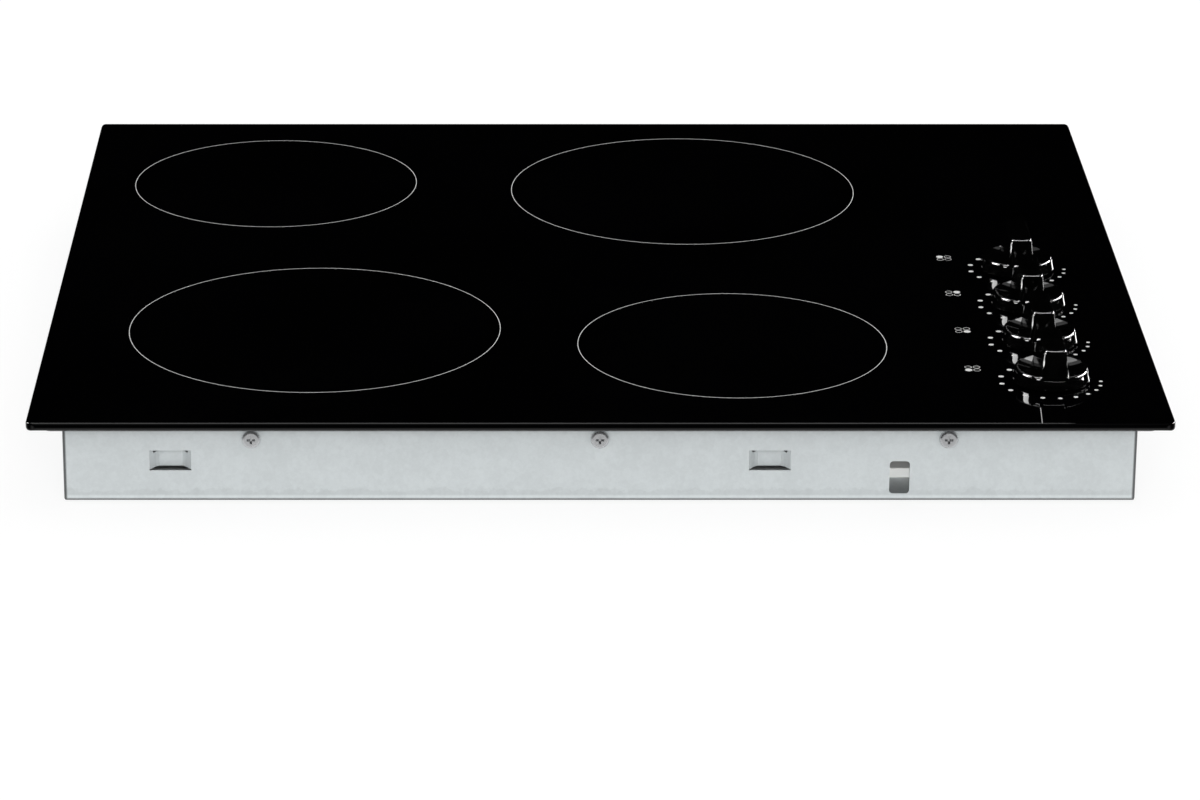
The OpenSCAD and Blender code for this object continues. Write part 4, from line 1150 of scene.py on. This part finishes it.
def room_light(world, stage):
    """White to the camera, even on matt surfaces, and a dim ceiling where glass and metal mirror it."""
    world.use_nodes = True
    tree = world.node_tree
    tree.nodes.clear()
    direction = add(tree, "TexCoord").outputs["Generated"]
    parts = add(tree, "SeparateXYZ", {"Vector": direction}).outputs
    limits = [math.sin(rise) for rise in CEILING_RISE]
    rise = mapped(tree, parts["Z"], *limits, 0.0, 1.0)
    dimmed = stage.ceiling * CEILING_REST
    across = mapped(tree, parts["X"], *CEILING_FADE, stage.ceiling, dimmed)
    mirrored = calculate(tree, "MULTIPLY", rise, across)
    path = add(tree, "LightPath").outputs
    unseen = blend(tree, "FLOAT", path["Is Glossy Ray"], stage.sky_level, mirrored)
    shown = blend(tree, "FLOAT", path["Is Camera Ray"], unseen, 1.0)
    back = add(tree, "Background", {"Strength": shown}).outputs["Background"]
    add(tree, "OutputWorld", {"Surface": back})


class COOKTOP_OT_stage(Operator):
    """Sets the floor, the lamps and the camera"""

    bl_idname = "cooktop.stage"
    bl_label = "Stage"

    def execute(self, context):
        scene = context.scene
        stage = scene.cooktop_stage
        mesh = bpy.data.meshes.new("floor")
        signs = ((-1, -1), (1, -1), (1, 1), (-1, 1))
        corners = [(x * FLOOR_HALF, y * FLOOR_HALF, -FLOOR_GAP) for x, y in signs]
        mesh.from_pydata(corners, [], [(0, 1, 2, 3)])
        mesh.materials.append(floor_material(stage))
        floor = bpy.data.objects.new("floor", mesh)
        scene.collection.objects.link(floor)
        scene.world = scene.world or bpy.data.worlds.new("Room")
        room_light(scene.world, stage)
        place_lamps()
        data = bpy.data.cameras.new("Camera")
        data.lens = stage.lens
        data.sensor_width = 36.0
        data.shift_x = stage.camera_shift
        data.clip_end = 50.0
        camera = bpy.data.objects.new("Camera", data)
        scene.collection.objects.link(camera)
        camera.location = stage.camera_place
        camera.rotation_euler = (math.pi / 2 - stage.camera_pitch, 0, 0)
        scene.camera = camera
        scene.view_settings.view_transform = "Standard"
        return {"FINISHED"}


# ---------- add-on ----------


class COOKTOP_PT_panel(Panel):
    """Lists the sizes and the steps of the cooktop"""

    bl_idname = "COOKTOP_PT_panel"
    bl_label = "Cooktop"
    bl_space_type = "VIEW_3D"
    bl_region_type = "UI"
    bl_category = "Cooktop"

    def draw(self, context):
        scene = context.scene
        for label, group in SETTINGS.items():
            box = self.layout.box()
            box.label(text=group.__doc__)
            for key in group.__annotations__:
                box.prop(getattr(scene, label), key)
        for step in STEPS:
            self.layout.operator(step.bl_idname)


SETTINGS = {
    "cooktop_print": CooktopPrint,
    "cooktop_knob": CooktopKnob,
    "cooktop_finish": CooktopFinish,
    "cooktop_stage": CooktopStage,
}
STEPS = (
    COOKTOP_OT_glass,
    COOKTOP_OT_zone_rings,
    COOKTOP_OT_scale_dots,
    COOKTOP_OT_zone_icons,
    COOKTOP_OT_knobs,
    COOKTOP_OT_case,
    COOKTOP_OT_coils,
    COOKTOP_OT_electronics,
    COOKTOP_OT_fans,
    COOKTOP_OT_mains_entry,
    COOKTOP_OT_controls,
    COOKTOP_OT_stage,
)


def register():
    for made in (*SETTINGS.values(), *STEPS, COOKTOP_PT_panel):
        bpy.utils.register_class(made)
    for label, group in SETTINGS.items():
        setattr(bpy.types.Scene, label, PointerProperty(type=group))


def unregister():
    for label in SETTINGS:
        delattr(bpy.types.Scene, label)
    for made in (COOKTOP_PT_panel, *reversed(STEPS), *SETTINGS.values()):
        bpy.utils.unregister_class(made)


def main():
    register()
    for step in STEPS:
        kind, name = step.bl_idname.split(".")
        getattr(getattr(bpy.ops, kind), name)()


if __name__ == "__main__":
    main()
